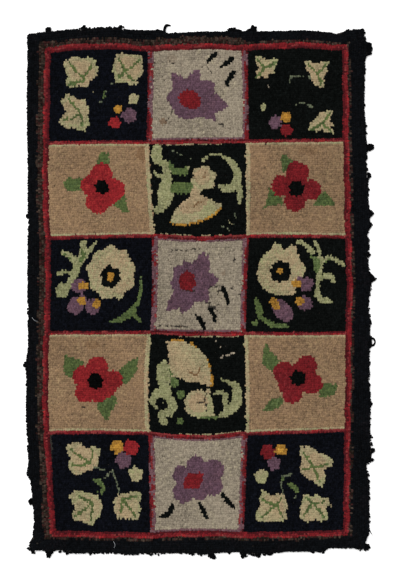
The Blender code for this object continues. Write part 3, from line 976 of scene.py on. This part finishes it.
def stand_loops(chosen):
    """The points of the chosen loops, in metres."""
    count = len(chosen)
    local = np.tile(loop_points, (count, 1, 1))
    upper = local[:, :, 2] > 0.5
    along = local[:, :, 0] * LOOP_PITCH * stretch[chosen, 0, None]
    across = local[:, :, 1] * across_pitch[chosen, None] * stretch[chosen, 1, None]
    drop = SHOULDER_DROP * (local[:, :, 0] / SHOULDER_WIDE) ** 2
    z = heights[chosen, None] - np.where(upper, drop, FOOT_LEVEL)
    c, s = np.cos(heading[chosen])[:, None], np.sin(heading[chosen])[:, None]
    x = loops[chosen, 0, None] + along * c - across * s + upper * lean[chosen, 0, None]
    y = loops[chosen, 1, None] + along * s + across * c + upper * lean[chosen, 1, None]
    placed = np.stack([x + PLAN_SHIFT[0], y + PLAN_SHIFT[1], z], 2)
    return placed * MM


# %% [markdown]
# ## Wool
# Strips cut from old clothes never match, so each wool has a few dyed shades and each loop picks
# one. Three numbers stored on every loop drive its colour: the dye, a light or dark shade, and a
# stain. The shade holds random tone, and also painted light on raised loops and painted shade on
# sunk ones. The stain holds real stains, and also painted shade along the cracks. The material adds
# fine fibres, and darkens whatever lies low in the pile, such as the loops' feet, as painted shade
# where little light comes.

# %% Shader maths
class Value:
    """A number in a shader. Python's operators on it add Math nodes."""

    def __init__(self, finish, socket):
        self.finish, self.socket = finish, socket

    def math(self, operation, *others, swap=False):
        parts = [self, *others]
        if swap:
            parts.reverse()
        return self.finish.node("ShaderNodeMath", {"operation": operation},
                                dict(enumerate(parts))).out()

    def __add__(self, other):
        return self.math("ADD", other)

    def __sub__(self, other):
        return self.math("SUBTRACT", other)

    def __rsub__(self, other):
        return self.math("SUBTRACT", other, swap=True)

    def __mul__(self, other):
        return self.math("MULTIPLY", other)

    __radd__, __rmul__ = __add__, __mul__


class Made:
    """A node, whose sockets come out as values."""

    def __init__(self, finish, node):
        self.finish, self.node = finish, node

    def out(self, name=0):
        return Value(self.finish, self.node.outputs[name])


class Finish:
    """A material in the making."""

    def __init__(self, name):
        self.material = bpy.data.materials.new(name)
        self.material.use_nodes = True
        self.tree = self.material.node_tree
        self.shader = Made(self, self.tree.nodes["Principled BSDF"])

    def node(self, kind, settings=None, sockets=None):
        """Adds a node, sets it up, then fills its sockets with numbers or links."""
        node = self.tree.nodes.new(kind)
        for key, value in (settings or {}).items():
            if key == "stops":
                self.set_stops(node.color_ramp, value)
            else:
                setattr(node, key, value)
        self.fill(node, sockets or {})
        return Made(self, node)

    def fill(self, node, sockets):
        for key, value in sockets.items():
            if isinstance(value, Value):
                self.tree.links.new(value.socket, node.inputs[key])
            else:
                node.inputs[key].default_value = value

    def set_stops(self, ramp, stops):
        while len(ramp.elements) < len(stops):
            ramp.elements.new(0.5)
        for element, (place, colour) in zip(ramp.elements, stops):
            element.position, element.color = place, colour

    def mix(self, factor, first, second, blend="MIX"):
        """Mixes two colours."""
        return self.node("ShaderNodeMix", {"data_type": "RGBA", "blend_type": blend},
                         {0: factor, 6: first, 7: second}).out(2)

    def attribute(self, name):
        return self.node("ShaderNodeAttribute", {"attribute_name": name}).out("Fac")

    def noise(self, scale, detail=2.0, stretch=None):
        place = self.node("ShaderNodeTexCoord").out("Object")
        if stretch:
            place = self.node("ShaderNodeMapping", {}, {"Vector": place, "Scale": stretch}).out()
        return self.node("ShaderNodeTexNoise", {}, {
            "Vector": place, "Scale": scale, "Detail": detail}).out("Fac")


def linear(hex_colour, gain=1.0):
    """A colour as the shader wants it, from its everyday hex form."""
    parts = [int(hex_colour[i:i + 2], 16) / 255 for i in (1, 3, 5)]
    parts = [p / 12.92 if p <= 0.04045 else ((p + 0.055) / 1.055) ** 2.4 for p in parts]
    return (*[min(p * gain, 1.0) for p in parts], 1.0)


# %% Wool materials
DYES = {
    "border": ("#090A0C", "#0B0D10", "#08090B", "#100F12"),
    "navy": ("#08090D", "#0B0D14", "#06070A", "#0E1017"),
    "black": ("#080A09", "#0B0D0C", "#060807", "#0E1110"),
    "tan": ("#876C53", "#8F7456", "#816850", "#957C5C"),
    "grey": ("#8E8271", "#978C79", "#84796A", "#9F947D"),
    "cream": ("#9C8668", "#9C8B6B", "#968C6B", "#8F8E66"),
    "bright_red": ("#861D21", "#912427", "#7B191F", "#962C2A"),
    "brick": ("#74292B", "#7F2F30", "#682325", "#853A35"),
    "crimson": ("#691419", "#741A1F", "#5E1117", "#792428"),
    "dark_red": ("#480E13", "#530F16", "#3E0B0F", "#4A121A"),
    "mauve": ("#65454A", "#715257", "#593C43", "#7C6062"),
    "purple": ("#583F4B", "#614754", "#4F3943", "#694C57"),
    "green": ("#4B5931", "#566438", "#3F4E2B", "#627145"),
    "sage": ("#85835C", "#8F8E69", "#797B54", "#8D8967"),
    "stem": ("#5C6350", "#6B7158", "#4E5745", "#767A60"),
    "gold": ("#966B2A", "#A3782E", "#8C6327", "#B08636"),
    "tweed": ("#100E0D", "#433830", "#331A19", "#191811"),
}
# The stains' colour, also laid along the cracks as painted shade.
STAIN_AND_CRACK_SHADE_COLOUR = linear("#5A3A1E")
DYE_STOPS = (0.0, 0.35, 0.65, 1.0)
WOOL_GAIN, DARK_GAIN = 0.93, 0.95
FIBRE_SCALE = 900.0
STRAND_SCALE = 260.0
FOOT_LIGHT = 0.62
SHADE_DEPTH = 0.16
DARK_WOOLS = ("border", "navy", "black", "tweed")
DARK_SHADE_DEPTH = 0.3
SHINE, DARK_SHINE = 0.1, 0.03
WOOL_SHEEN = 0.04
SHADE_SPREAD, SHADE_RANGE = 0.55, (-2.6, 1.8)
# Painted light and shade on the loops: raised loops are painted lighter and sunk loops darker.
RISE_LIGHT, SINK_PAINTED_SHADE = 0.8, 1.6


def wool_finish(name):
    finish = Finish(name)
    dark = name in DARK_WOOLS
    gain = DARK_GAIN if dark else WOOL_GAIN
    stops = [(place, linear(dye, gain)) for place, dye in zip(DYE_STOPS, DYES[name])]
    dyed = finish.node("ShaderNodeValToRGB", {"stops": stops}, {0: finish.attribute("dye")}).out()
    depth = DARK_SHADE_DEPTH if dark else SHADE_DEPTH
    fibre = finish.noise(FIBRE_SCALE, 3.0, (1.0, 0.35, 1.0))
    strand = finish.noise(STRAND_SCALE, 2.0)
    light = 1.0 + finish.attribute("shade") * depth + (fibre - 0.5) * 0.3 + (strand - 0.5) * 0.2
    # Painted shade: colour darkens to FOOT_LIGHT towards the feet and anything lying low, such as the rim
    # loops.
    height = finish.node("ShaderNodeSeparateXYZ", {}, {
        0: finish.node("ShaderNodeTexCoord").out("Object")}).out("Z")
    top = finish.node("ShaderNodeMapRange", {"clamp": True}, {
        0: height, 1: (PILE_TOP - FOOT_LEVEL) * MM, 2: (PILE_TOP - 0.4) * MM, 3: FOOT_LIGHT, 4: 1.0}).out()
    grey = finish.node("ShaderNodeCombineColor", {}, dict.fromkeys(range(3), light * top)).out()
    lit = finish.mix(1.0, dyed, grey, "MULTIPLY")
    # The stain mix holds real stains and painted shade along the cracks.
    stained_and_crack_shaded = finish.mix(finish.attribute("stain") * 0.8, lit, STAIN_AND_CRACK_SHADE_COLOUR)
    bump = finish.node("ShaderNodeBump", {}, {
        "Strength": 0.5, "Distance": 0.0004, "Height": fibre + strand}).out()
    finish.fill(finish.shader.node, {
        "Base Color": stained_and_crack_shaded, "Roughness": 0.82 + fibre * 0.16, "Normal": bump,
        "Sheen Weight": 0.0 if dark else WOOL_SHEEN, "Sheen Roughness": 0.5,
        "Specular IOR Level": DARK_SHINE if dark else SHINE,
    })
    return finish.material


finishes = {name: wool_finish(name) for name in WOOLS}

# %% Hook the loops
drift = (wander(loops[:, 0] * 0.9 + loops[:, 1] * 0.5, 3, 0.16)
         + wander(loops[:, 1] * 1.1 - loops[:, 0] * 0.3, 8, 0.15))
# Painted light and shade: loops raised by the ripple are painted lighter, and sunk loops darker.
shade = rng.normal(0, SHADE_SPREAD, len(loops)) + drift + RISE_LIGHT * rise - sunk * SINK_PAINTED_SHADE
shade = np.clip(shade, *SHADE_RANGE) + tone
dye = rng.uniform(0, 1, len(loops))
skein = 0.5 + 0.5 * np.sin(loops[:, 0] / 23 + 2 * np.sin(loops[:, 1] / 31))
dye = np.where(wool == WOOLS.index("tweed"), dye, 0.6 * dye + 0.4 * skein)
picked = np.clip(tint + 0.35 * (skein - 0.5) + rng.normal(0, 0.1, len(loops)), 0, 1)
dye = np.where(np.isnan(tint), dye, picked)

pieces = []
for number, name in enumerate(WOOLS):
    chosen = np.flatnonzero(wool == number)
    piece = joined(name + "_loops", stand_loops(chosen), loop_faces, {
        "dye": dye[chosen], "shade": shade[chosen], "stain": stain[chosen]})
    dress(piece, finishes[name])
    pieces.append(piece)
    print(piece.name, len(chosen), "loops")

# %% [markdown]
# ## The foundation
# Under the loops lies the burlap, with the feet of the loops packed into it. It is one flat sheet
# with the rug's outline and rests on the floor. Its top is painted nearly black as shade under the
# pile, so from above it shows only as a dark line where the pile parts, and from below as plain weave.

# %% Foundation
BED_INSET = 4.0
BED_FACES = (44, 67)
BED_HALF = (432, 660)
CORNER_AT = 430
BURLAP_PITCH = 0.0022
BURLAP = linear("#6E5A3E")
BURLAP_DARK = linear("#3F3222")


def ring_of_rim(step=1.0, smoothing=9):
    """Places round the rug's outline, anticlockwise from the lower left corner, a step apart."""
    left_low, left_high = -out_at(BOTTOM_SIDE, -CORNER_AT), out_at(TOP_SIDE, -CORNER_AT)
    right_low, right_high = -out_at(BOTTOM_SIDE, CORNER_AT), out_at(TOP_SIDE, CORNER_AT)
    y_right = np.arange(right_low, right_high, step)
    y_left = np.arange(left_high, left_low, -step)
    x_low = np.arange(-out_at(LEFT_SIDE, left_low), out_at(RIGHT_SIDE, right_low), step)
    x_high = np.arange(out_at(RIGHT_SIDE, right_high), -out_at(LEFT_SIDE, left_high), -step)
    ring = np.concatenate([
        np.stack([x_low, -out_at(BOTTOM_SIDE, x_low)], 1),
        np.stack([out_at(RIGHT_SIDE, y_right), y_right], 1),
        np.stack([x_high, out_at(TOP_SIDE, x_high)], 1),
        np.stack([-out_at(LEFT_SIDE, y_left), y_left], 1),
    ])
    wide = np.concatenate([ring[-smoothing:], ring, ring[:smoothing]])
    weights = np.ones(2 * smoothing + 1) / (2 * smoothing + 1)
    ring = np.stack([np.convolve(wide[:, k], weights, "valid") for k in (0, 1)], 1)
    return ring


def ring_at(ring, spacing):
    """Even places round the ring, the way out at each, how far along each lies, and the length."""
    closed = np.vstack([ring, ring[:1]])
    lengths = np.concatenate([[0], np.cumsum(np.hypot(*np.diff(closed, axis=0).T))])
    count = int(lengths[-1] / spacing)
    places = np.arange(count) * lengths[-1] / count
    x, y = (np.interp(places, lengths, closed[:, k]) for k in (0, 1))
    ahead = np.stack([np.roll(x, -1) - np.roll(x, 1), np.roll(y, -1) - np.roll(y, 1)], 1)
    ahead /= np.linalg.norm(ahead, axis=1, keepdims=True)
    return np.stack([x, y], 1), np.stack([ahead[:, 1], -ahead[:, 0]], 1), places, lengths[-1]


rim = ring_of_rim()


def bed_mesh():
    bm = bmesh.new()
    bmesh.ops.create_grid(bm, x_segments=BED_FACES[0], y_segments=BED_FACES[1], size=1)
    for vert in bm.verts:
        nominal_x, nominal_y = vert.co.x * BED_HALF[0], vert.co.y * BED_HALF[1]
        left, right = -out_at(LEFT_SIDE, nominal_y), out_at(RIGHT_SIDE, nominal_y)
        low, high = -out_at(BOTTOM_SIDE, nominal_x), out_at(TOP_SIDE, nominal_x)
        x = (left + right) / 2 + vert.co.x * ((right - left) / 2 - BED_INSET)
        y = (low + high) / 2 + vert.co.y * ((high - low) / 2 - BED_INSET)
        vert.co = Vector((x + PLAN_SHIFT[0], y + PLAN_SHIFT[1], 0)) * MM
    grown = bmesh.ops.extrude_face_region(bm, geom=bm.faces)["geom"]
    upper = [item for item in grown if isinstance(item, bmesh.types.BMVert)]
    places = np.array([vert.co[:2] for vert in upper]) / MM - PLAN_SHIFT
    for vert, level in zip(upper, BED_TOP + lump(*places.T)):
        vert.co.z = level * MM
    bmesh.ops.recalc_face_normals(bm, faces=bm.faces)
    mesh = bpy.data.meshes.new("foundation")
    bm.to_mesh(mesh)
    bm.free()
    return mesh


def burlap_finish():
    finish = Finish("burlap")
    place = finish.node("ShaderNodeTexCoord").out("Object")
    waves = [
        finish.node("ShaderNodeTexWave", {"bands_direction": axis}, {
            "Vector": place, "Scale": 1 / BURLAP_PITCH / 20 * math.tau, "Distortion": 0.6,
            "Detail": 1.0}).out("Fac")
        for axis in ("X", "Y")
    ]
    weave = waves[0] * waves[1]
    height = finish.node("ShaderNodeSeparateXYZ", {}, {0: place}).out("Z")
    # Painted shade: the burlap darkens to 0.12 of its colour towards its top, under the pile.
    below = finish.node("ShaderNodeMapRange", {"clamp": True}, {
        0: height, 1: 1.0 * MM, 2: BED_TOP * MM, 3: 1.0, 4: 0.12}).out()
    cloth = finish.mix(weave, BURLAP_DARK, BURLAP)
    grey = finish.node("ShaderNodeCombineColor", {}, dict.fromkeys(range(3), below)).out()
    bump = finish.node("ShaderNodeBump", {}, {
        "Strength": 0.6, "Distance": 0.0006, "Height": weave}).out()
    finish.fill(finish.shader.node, {
        "Base Color": finish.mix(1.0, cloth, grey, "MULTIPLY"),
        "Roughness": 0.85 + weave * 0.1, "Normal": bump})
    return finish.material


foundation = put("foundation", bed_mesh())
dress(foundation, burlap_finish())
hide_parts("hooked_rug")

# %% [markdown]
# ## The shaggy rim
# The outermost loops have nothing to lean on, so they roll outwards and hang over the edge in
# small tufts. They are rounder than the others and stand in two tiers. Some worn places stick out
# as flaps, and a few strips and threads have been pulled loose.

# %% Rim loops
RIM_SPACING = 3.9
RIM_TIERS = (
    # height of the middle, how far inside the outline, and half-sizes along, out and up
    (3.3, 3.2, (2.7, 3.8, 3.2)),
    (6.6, 4.6, (2.6, 3.6, 2.9)),
)
TUFT_SPACING = 10.0
TUFT_REACH = (-1.5, 3.0)
TUFT_HALF_WIDTH = (4.0, 9.0)
# How far and how wide the tufts are, against the plain ones: on the right and below, and elsewhere.
RAGGED, EVEN = (1.7, 0.65), (0.8, 1.0)
TUFT_FALL, TUFT_ROUNDNESS, TUFT_GAP = 5.0, 2.5, -3.5
FLAP_PITCH, FLAP_JITTER = 2.7, 0.4
FLAP_LEVEL, FLAP_HALF = 4.2, (2.8, 2.8, 3.2)
FLAPS = (
    ((68, 658), (78, 673), (90, 671), (108, 665), (120, 664), (130, 671), (137, 679), (146, 673),
     (148, 658)),
    ((-391, 657), (-390, 669), (-385, 674), (-377, 672), (-376, 657)),
    ((-306, 668), (-300, 674), (-291, 680), (-291, 668)), ((-110, 664), (-107, 672), (-100, 664)),
    ((-208, 673), (-199, 679), (-191, 674)), ((410, 660), (412, 670), (421, 668), (424, 656)),
    ((426, 600), (438, 603), (442, 617), (439, 632), (426, 637)),
    ((-391, -656), (-388, -678), (-380, -678), (-368, -656)),
    ((-425, -658), (-427, -668), (-420, -668), (-418, -658)),
    ((-418, -546), (-430, -543), (-435, -536), (-430, -528), (-418, -524)),
    ((-438, -176), (-446, -182), (-448, -190), (-438, -196)),
    ((-434, 186), (-440, 189), (-441, 196), (-434, 199)),
    ((434, 18), (453, 32), (434, 49)), ((430, 286), (438, 293), (437, 300), (430, 304)),
    ((429, 188), (441, 192), (445, 199), (440, 206), (429, 208)),
    ((429, 158), (439, 163), (442, 170), (437, 178), (429, 180)),
    ((428, 255), (435, 261), (428, 267)), ((430, 86), (438, 93), (430, 100)),
    ((424, 355), (436, 358), (445, 364), (446, 372), (438, 378), (428, 374)),
    ((429, -113), (439, -115), (440, -143), (429, -145)),
    ((437, -411), (447, -409), (447, -400), (437, -399)), ((435, -436), (447, -429), (435, -422)),
    ((434, -376), (443, -372), (434, -367)), ((434, -292), (442, -286), (434, -278)),
    ((431, -488), (438, -483), (431, -479)), ((431, -579), (438, -574), (431, -570)),
    ((420, -646), (432, -644), (437, -653), (431, -660), (420, -659)),
    ((20, -662), (24, -675), (30, -680), (41, -682), (41, -676), (36, -664)),
    ((104, -658), (106, -673), (110, -680), (119, -677), (123, -658)),
    ((140, -658), (145, -675), (154, -679), (159, -658)),
    ((176, -656), (179, -673), (187, -670), (193, -656)),
    ((300, -646), (308, -664), (319, -667), (324, -646)), ((-345, -660), (-338, -671), (-330, -660)),
    ((-282, -662), (-278, -673), (-270, -662)), ((70, -662), (77, -670), (84, -662)),
)


def rim_shape():
    bm = bmesh.new()
    bmesh.ops.create_uvsphere(bm, u_segments=6, v_segments=4, radius=1)
    bm.verts.index_update()
    points = np.array([vert.co[:] for vert in bm.verts])
    faces = [[vert.index for vert in face.verts] for face in bm.faces]
    bm.free()
    return points, faces


def place_beads(centre, out, height, half):
    """Rounded loops at places on the plan, each turned outwards, in metres."""
    count = len(centre)
    ahead = np.stack([-out[:, 1], out[:, 0]], 1)
    size = np.array(half) * rng.normal(1, 0.12, (count, 3))
    turn = rng.normal(0, 0.35, count)
    c, s = np.cos(turn)[:, None], np.sin(turn)[:, None]
    along = rim_points[None, :, 0] * size[:, 0, None]
    outwards = rim_points[None, :, 1] * size[:, 1, None]
    along, outwards = along * c - outwards * s, along * s + outwards * c
    x = centre[:, 0, None] + along * ahead[:, 0, None] + outwards * out[:, 0, None]
    y = centre[:, 1, None] + along * ahead[:, 1, None] + outwards * out[:, 1, None]
    z = height + rng.normal(0, 0.35, count)[:, None] + rim_points[None, :, 2] * size[:, 2, None]
    return np.stack([x + PLAN_SHIFT[0], y + PLAN_SHIFT[1], np.maximum(z, 0.05)], 2) * MM


rim_points, rim_faces = rim_shape()
rim_place, rim_out, rim_along, rim_length = ring_at(rim, RIM_SPACING)
tuft_count = int(rim_length / TUFT_SPACING)
tuft_at = (np.arange(tuft_count) + rng.uniform(-0.35, 0.35, tuft_count)) * rim_length / tuft_count
tuft_reach = rng.uniform(*TUFT_REACH, tuft_count)
tuft_width = rng.uniform(*TUFT_HALF_WIDTH, tuft_count)
tuft_out = rim_out[np.searchsorted(rim_along, tuft_at % rim_length) % len(rim_out)]
worn = ((tuft_out[:, 0] > 0.5) | (tuft_out[:, 1] < -0.5))[:, None]
tuft_reach, tuft_width = (np.stack([tuft_reach, tuft_width], 1) * np.where(worn, RAGGED, EVEN)).T
gap = np.abs(rim_along[:, None] - tuft_at[None])
gap = np.minimum(gap, rim_length - gap)
tufted = (tuft_reach - TUFT_FALL * (gap / tuft_width) ** TUFT_ROUNDNESS).max(1).clip(TUFT_GAP)
beads = []
for height, inside, half in RIM_TIERS:
    reach = tufted + rng.normal(0, 0.5, len(rim_place)) - inside
    beads.append(place_beads(rim_place + rim_out * reach[:, None], rim_out, height, half))

flap_places = []
for corners in FLAPS:
    low, high = np.min(corners, 0), np.max(corners, 0)
    grid = np.stack(np.meshgrid(np.arange(low[0], high[0], FLAP_PITCH) + 1.5,
                                np.arange(low[1], high[1], FLAP_PITCH) + 1.5), -1).reshape(-1, 2)
    spots = SimpleNamespace(x=grid[:, 0], y=grid[:, 1])
    flap_places.append(grid[patch(spots, *corners)])
flap_places = np.concatenate(flap_places)
flap_places += rng.normal(0, FLAP_JITTER, flap_places.shape)
flap_out = np.tile((1.0, 0.0), (len(flap_places), 1))
beads.append(place_beads(flap_places, flap_out, FLAP_LEVEL, FLAP_HALF))

rim_beads = np.concatenate(beads)
bead_count = len(rim_beads)
rim_loops = joined("rim_loops", rim_beads, rim_faces, {
    "dye": rng.uniform(0, 1, bead_count), "shade": rng.normal(-0.2, 0.5, bead_count),
    "stain": np.zeros(bead_count)})
dress(rim_loops, finishes["border"])
print("rim loops", bead_count)

# %% Pulled strips and threads
STRIPS = (
    # the strip's path on the plan, and its half-widths along it
    (((-88, 650), (-88, 668), (-83, 678), (-72, 678)), (4.0, 3.6, 4.2, 1.6)),
    (((437, -119), (444, -120), (448, -125), (448, -132), (444, -137), (437, -138)),
     (3.6, 3.0, 2.2, 2.2, 3.0, 3.6)),
    (((434, -392), (444, -392)), (1.8, 1.4)), (((430, -600), (435, -609), (443, -623)), (2.0, 1.4, 0.4)),
    (((113, -658), (115, -668), (120, -675), (125, -674)), (2.6, 2.4, 2.0, 1.0)),
    (((34, -662), (40, -676), (45, -680)), (2.6, 2.0, 1.0)),
)
THREADS = (
    ((-425, -66, 10.4), (-421, -72, 11.0), (-416, -75, 10.8), (-411, -76, 10.2)),
    ((-218, -637, 10.2), (-214, -645, 10.9), (-216, -653, 10.2)),
)
STRIP_ROOT, STRIP_MIDDLE, STRIP_TIP = 4.4, 4.0, 2.6  # heights above the floor


def strand(name, points, half_widths, sides=8):
    """A tapered strand along a few points, in millimetres, as a closed mesh."""
    curve = bpy.data.curves.new(name, "CURVE")
    curve.dimensions = "3D"
    curve.bevel_depth = 1 * MM
    curve.bevel_resolution = (sides - 4) // 2
    curve.use_fill_caps = True
    path = smooth_path(points, 4)
    widths = np.interp(np.linspace(0, 1, len(path)), np.linspace(0, 1, len(half_widths)), half_widths)
    spline = curve.splines.new("POLY")
    spline.points.add(len(path) - 1)
    for point, place, width in zip(spline.points, path, widths):
        point.co = (*((place[:2] + PLAN_SHIFT) * MM), place[2] * MM, 1)
        point.radius = width
    shape = put(name, curve)
    mesh = bpy.data.meshes.new_from_object(shape.evaluated_get(
        bpy.context.evaluated_depsgraph_get()))
    bpy.data.objects.remove(shape)
    return mesh


def strand_piece(name, meshes, finish):
    """Joins a few strands, none of them below the floor."""
    bm = bmesh.new()
    for mesh in meshes:
        bm.from_mesh(mesh)
    bmesh.ops.remove_doubles(bm, verts=bm.verts, dist=0.00001)
    bmesh.ops.recalc_face_normals(bm, faces=bm.faces)
    for vert in bm.verts:
        vert.co.z = max(vert.co.z, 0.05 * MM)
    mesh = bpy.data.meshes.new(name)
    bm.to_mesh(mesh)
    bm.free()
    mesh.shade_smooth()
    for key in ("dye", "shade", "stain"):
        mesh.attributes.new(key, "FLOAT", "POINT")
    piece = put(name, mesh)
    dress(piece, finish)
    return piece


strip_meshes = []
for path, half_widths in STRIPS:
    levels = np.interp(np.linspace(0, 1, len(path)), (0, 0.5, 1), (STRIP_ROOT, STRIP_MIDDLE, STRIP_TIP))
    strip_meshes.append(strand("strip", [(*place, z) for place, z in zip(path, levels)], half_widths))
strays = strand_piece("pulled_strips", strip_meshes, finishes["border"])

thread_finish = Finish("pale_thread")
thread_finish.fill(thread_finish.shader.node, {
    "Base Color": thread_finish.mix(thread_finish.noise(400), linear("#8A8C90"), linear("#B9BBBE")),
    "Roughness": 0.9})
threads = strand_piece("loose_threads", [strand("thread", path, (0.45, 0.4, 0.3)) for path in THREADS],
                       thread_finish.material)

# %% [markdown]
# ## The cloth as a whole
# The foundation is the rug's base, nearly the rug's own width and length. The loops, the rim and
# the strays all hang from the same body as the foundation, so they go with it.

# %% [markdown]
# ## Floor, light and camera
# The rug lies on a pale floor and the camera looks straight down on it from far off, through a
# long lens, so its sides stay parallel as in the photograph. One broad light comes from the upper
# left, so that each loop has a soft shadow side, and the sky fills in the rest.

# %% Studio
IMAGE_SIZE = (400, 583)
PIXEL = 2.55 * MM
PHOTO_MIDDLE = (2.55 * MM, 0.0)  # the photograph's middle, from the middle of the blocks
CAMERA_HEIGHT = 12.0
SENSOR = 36.0
FLOOR_SIZE = 12.0
FLOOR_GLOW = 0.35  # keeps the floor white right up to the rug, as in the photograph
SKY_STRENGTH = 0.6
LAMP_STRENGTH = 2.4
LAMP_FROM = (-0.35, 0.45, 0.82)

floor_mesh = bpy.data.meshes.new("floor")
bm = bmesh.new()
bmesh.ops.create_grid(bm, x_segments=1, y_segments=1, size=FLOOR_SIZE / 2)
bm.to_mesh(floor_mesh)
bm.free()
floor = put("floor", floor_mesh)
floor_finish = Finish("pale_floor")
floor_finish.fill(floor_finish.shader.node, {
    "Base Color": (0.93, 0.93, 0.93, 1.0), "Roughness": 0.9, "Specular IOR Level": 0.1,
    "Emission Color": (1.0, 1.0, 1.0, 1.0), "Emission Strength": FLOOR_GLOW})
floor.data.materials.append(floor_finish.material)

world = bpy.data.worlds.new("sky")
bpy.context.scene.world = world
world.use_nodes = True
world.node_tree.nodes["Background"].inputs["Color"].default_value = (1, 1, 1, 1)
world.node_tree.nodes["Background"].inputs["Strength"].default_value = SKY_STRENGTH

lamp_data = bpy.data.lights.new("key", "SUN")
lamp_data.angle = math.radians(40)
lamp_data.energy = LAMP_STRENGTH
lamp = put("key", lamp_data)
lamp.rotation_euler = (-Vector(LAMP_FROM)).to_track_quat("-Z", "Y").to_euler()

camera_data = bpy.data.cameras.new("camera")
camera_data.sensor_width = SENSOR
camera_data.lens = SENSOR * CAMERA_HEIGHT / (IMAGE_SIZE[1] * PIXEL)
camera_data.clip_end = 100
camera = put("camera", camera_data)
camera.location = (PLAN_SHIFT[0] * MM + PHOTO_MIDDLE[0], PLAN_SHIFT[1] * MM + PHOTO_MIDDLE[1],
                   CAMERA_HEIGHT)
bpy.context.scene.camera = camera
bpy.context.scene.view_settings.view_transform = "Standard"
bpy.context.view_layer.update()

# %% Triangle count
total = sum(sum(len(p.vertices) - 2 for p in o.data.polygons) for o in (
    *pieces, rim_loops, strays, threads, foundation))
print("triangles", total)
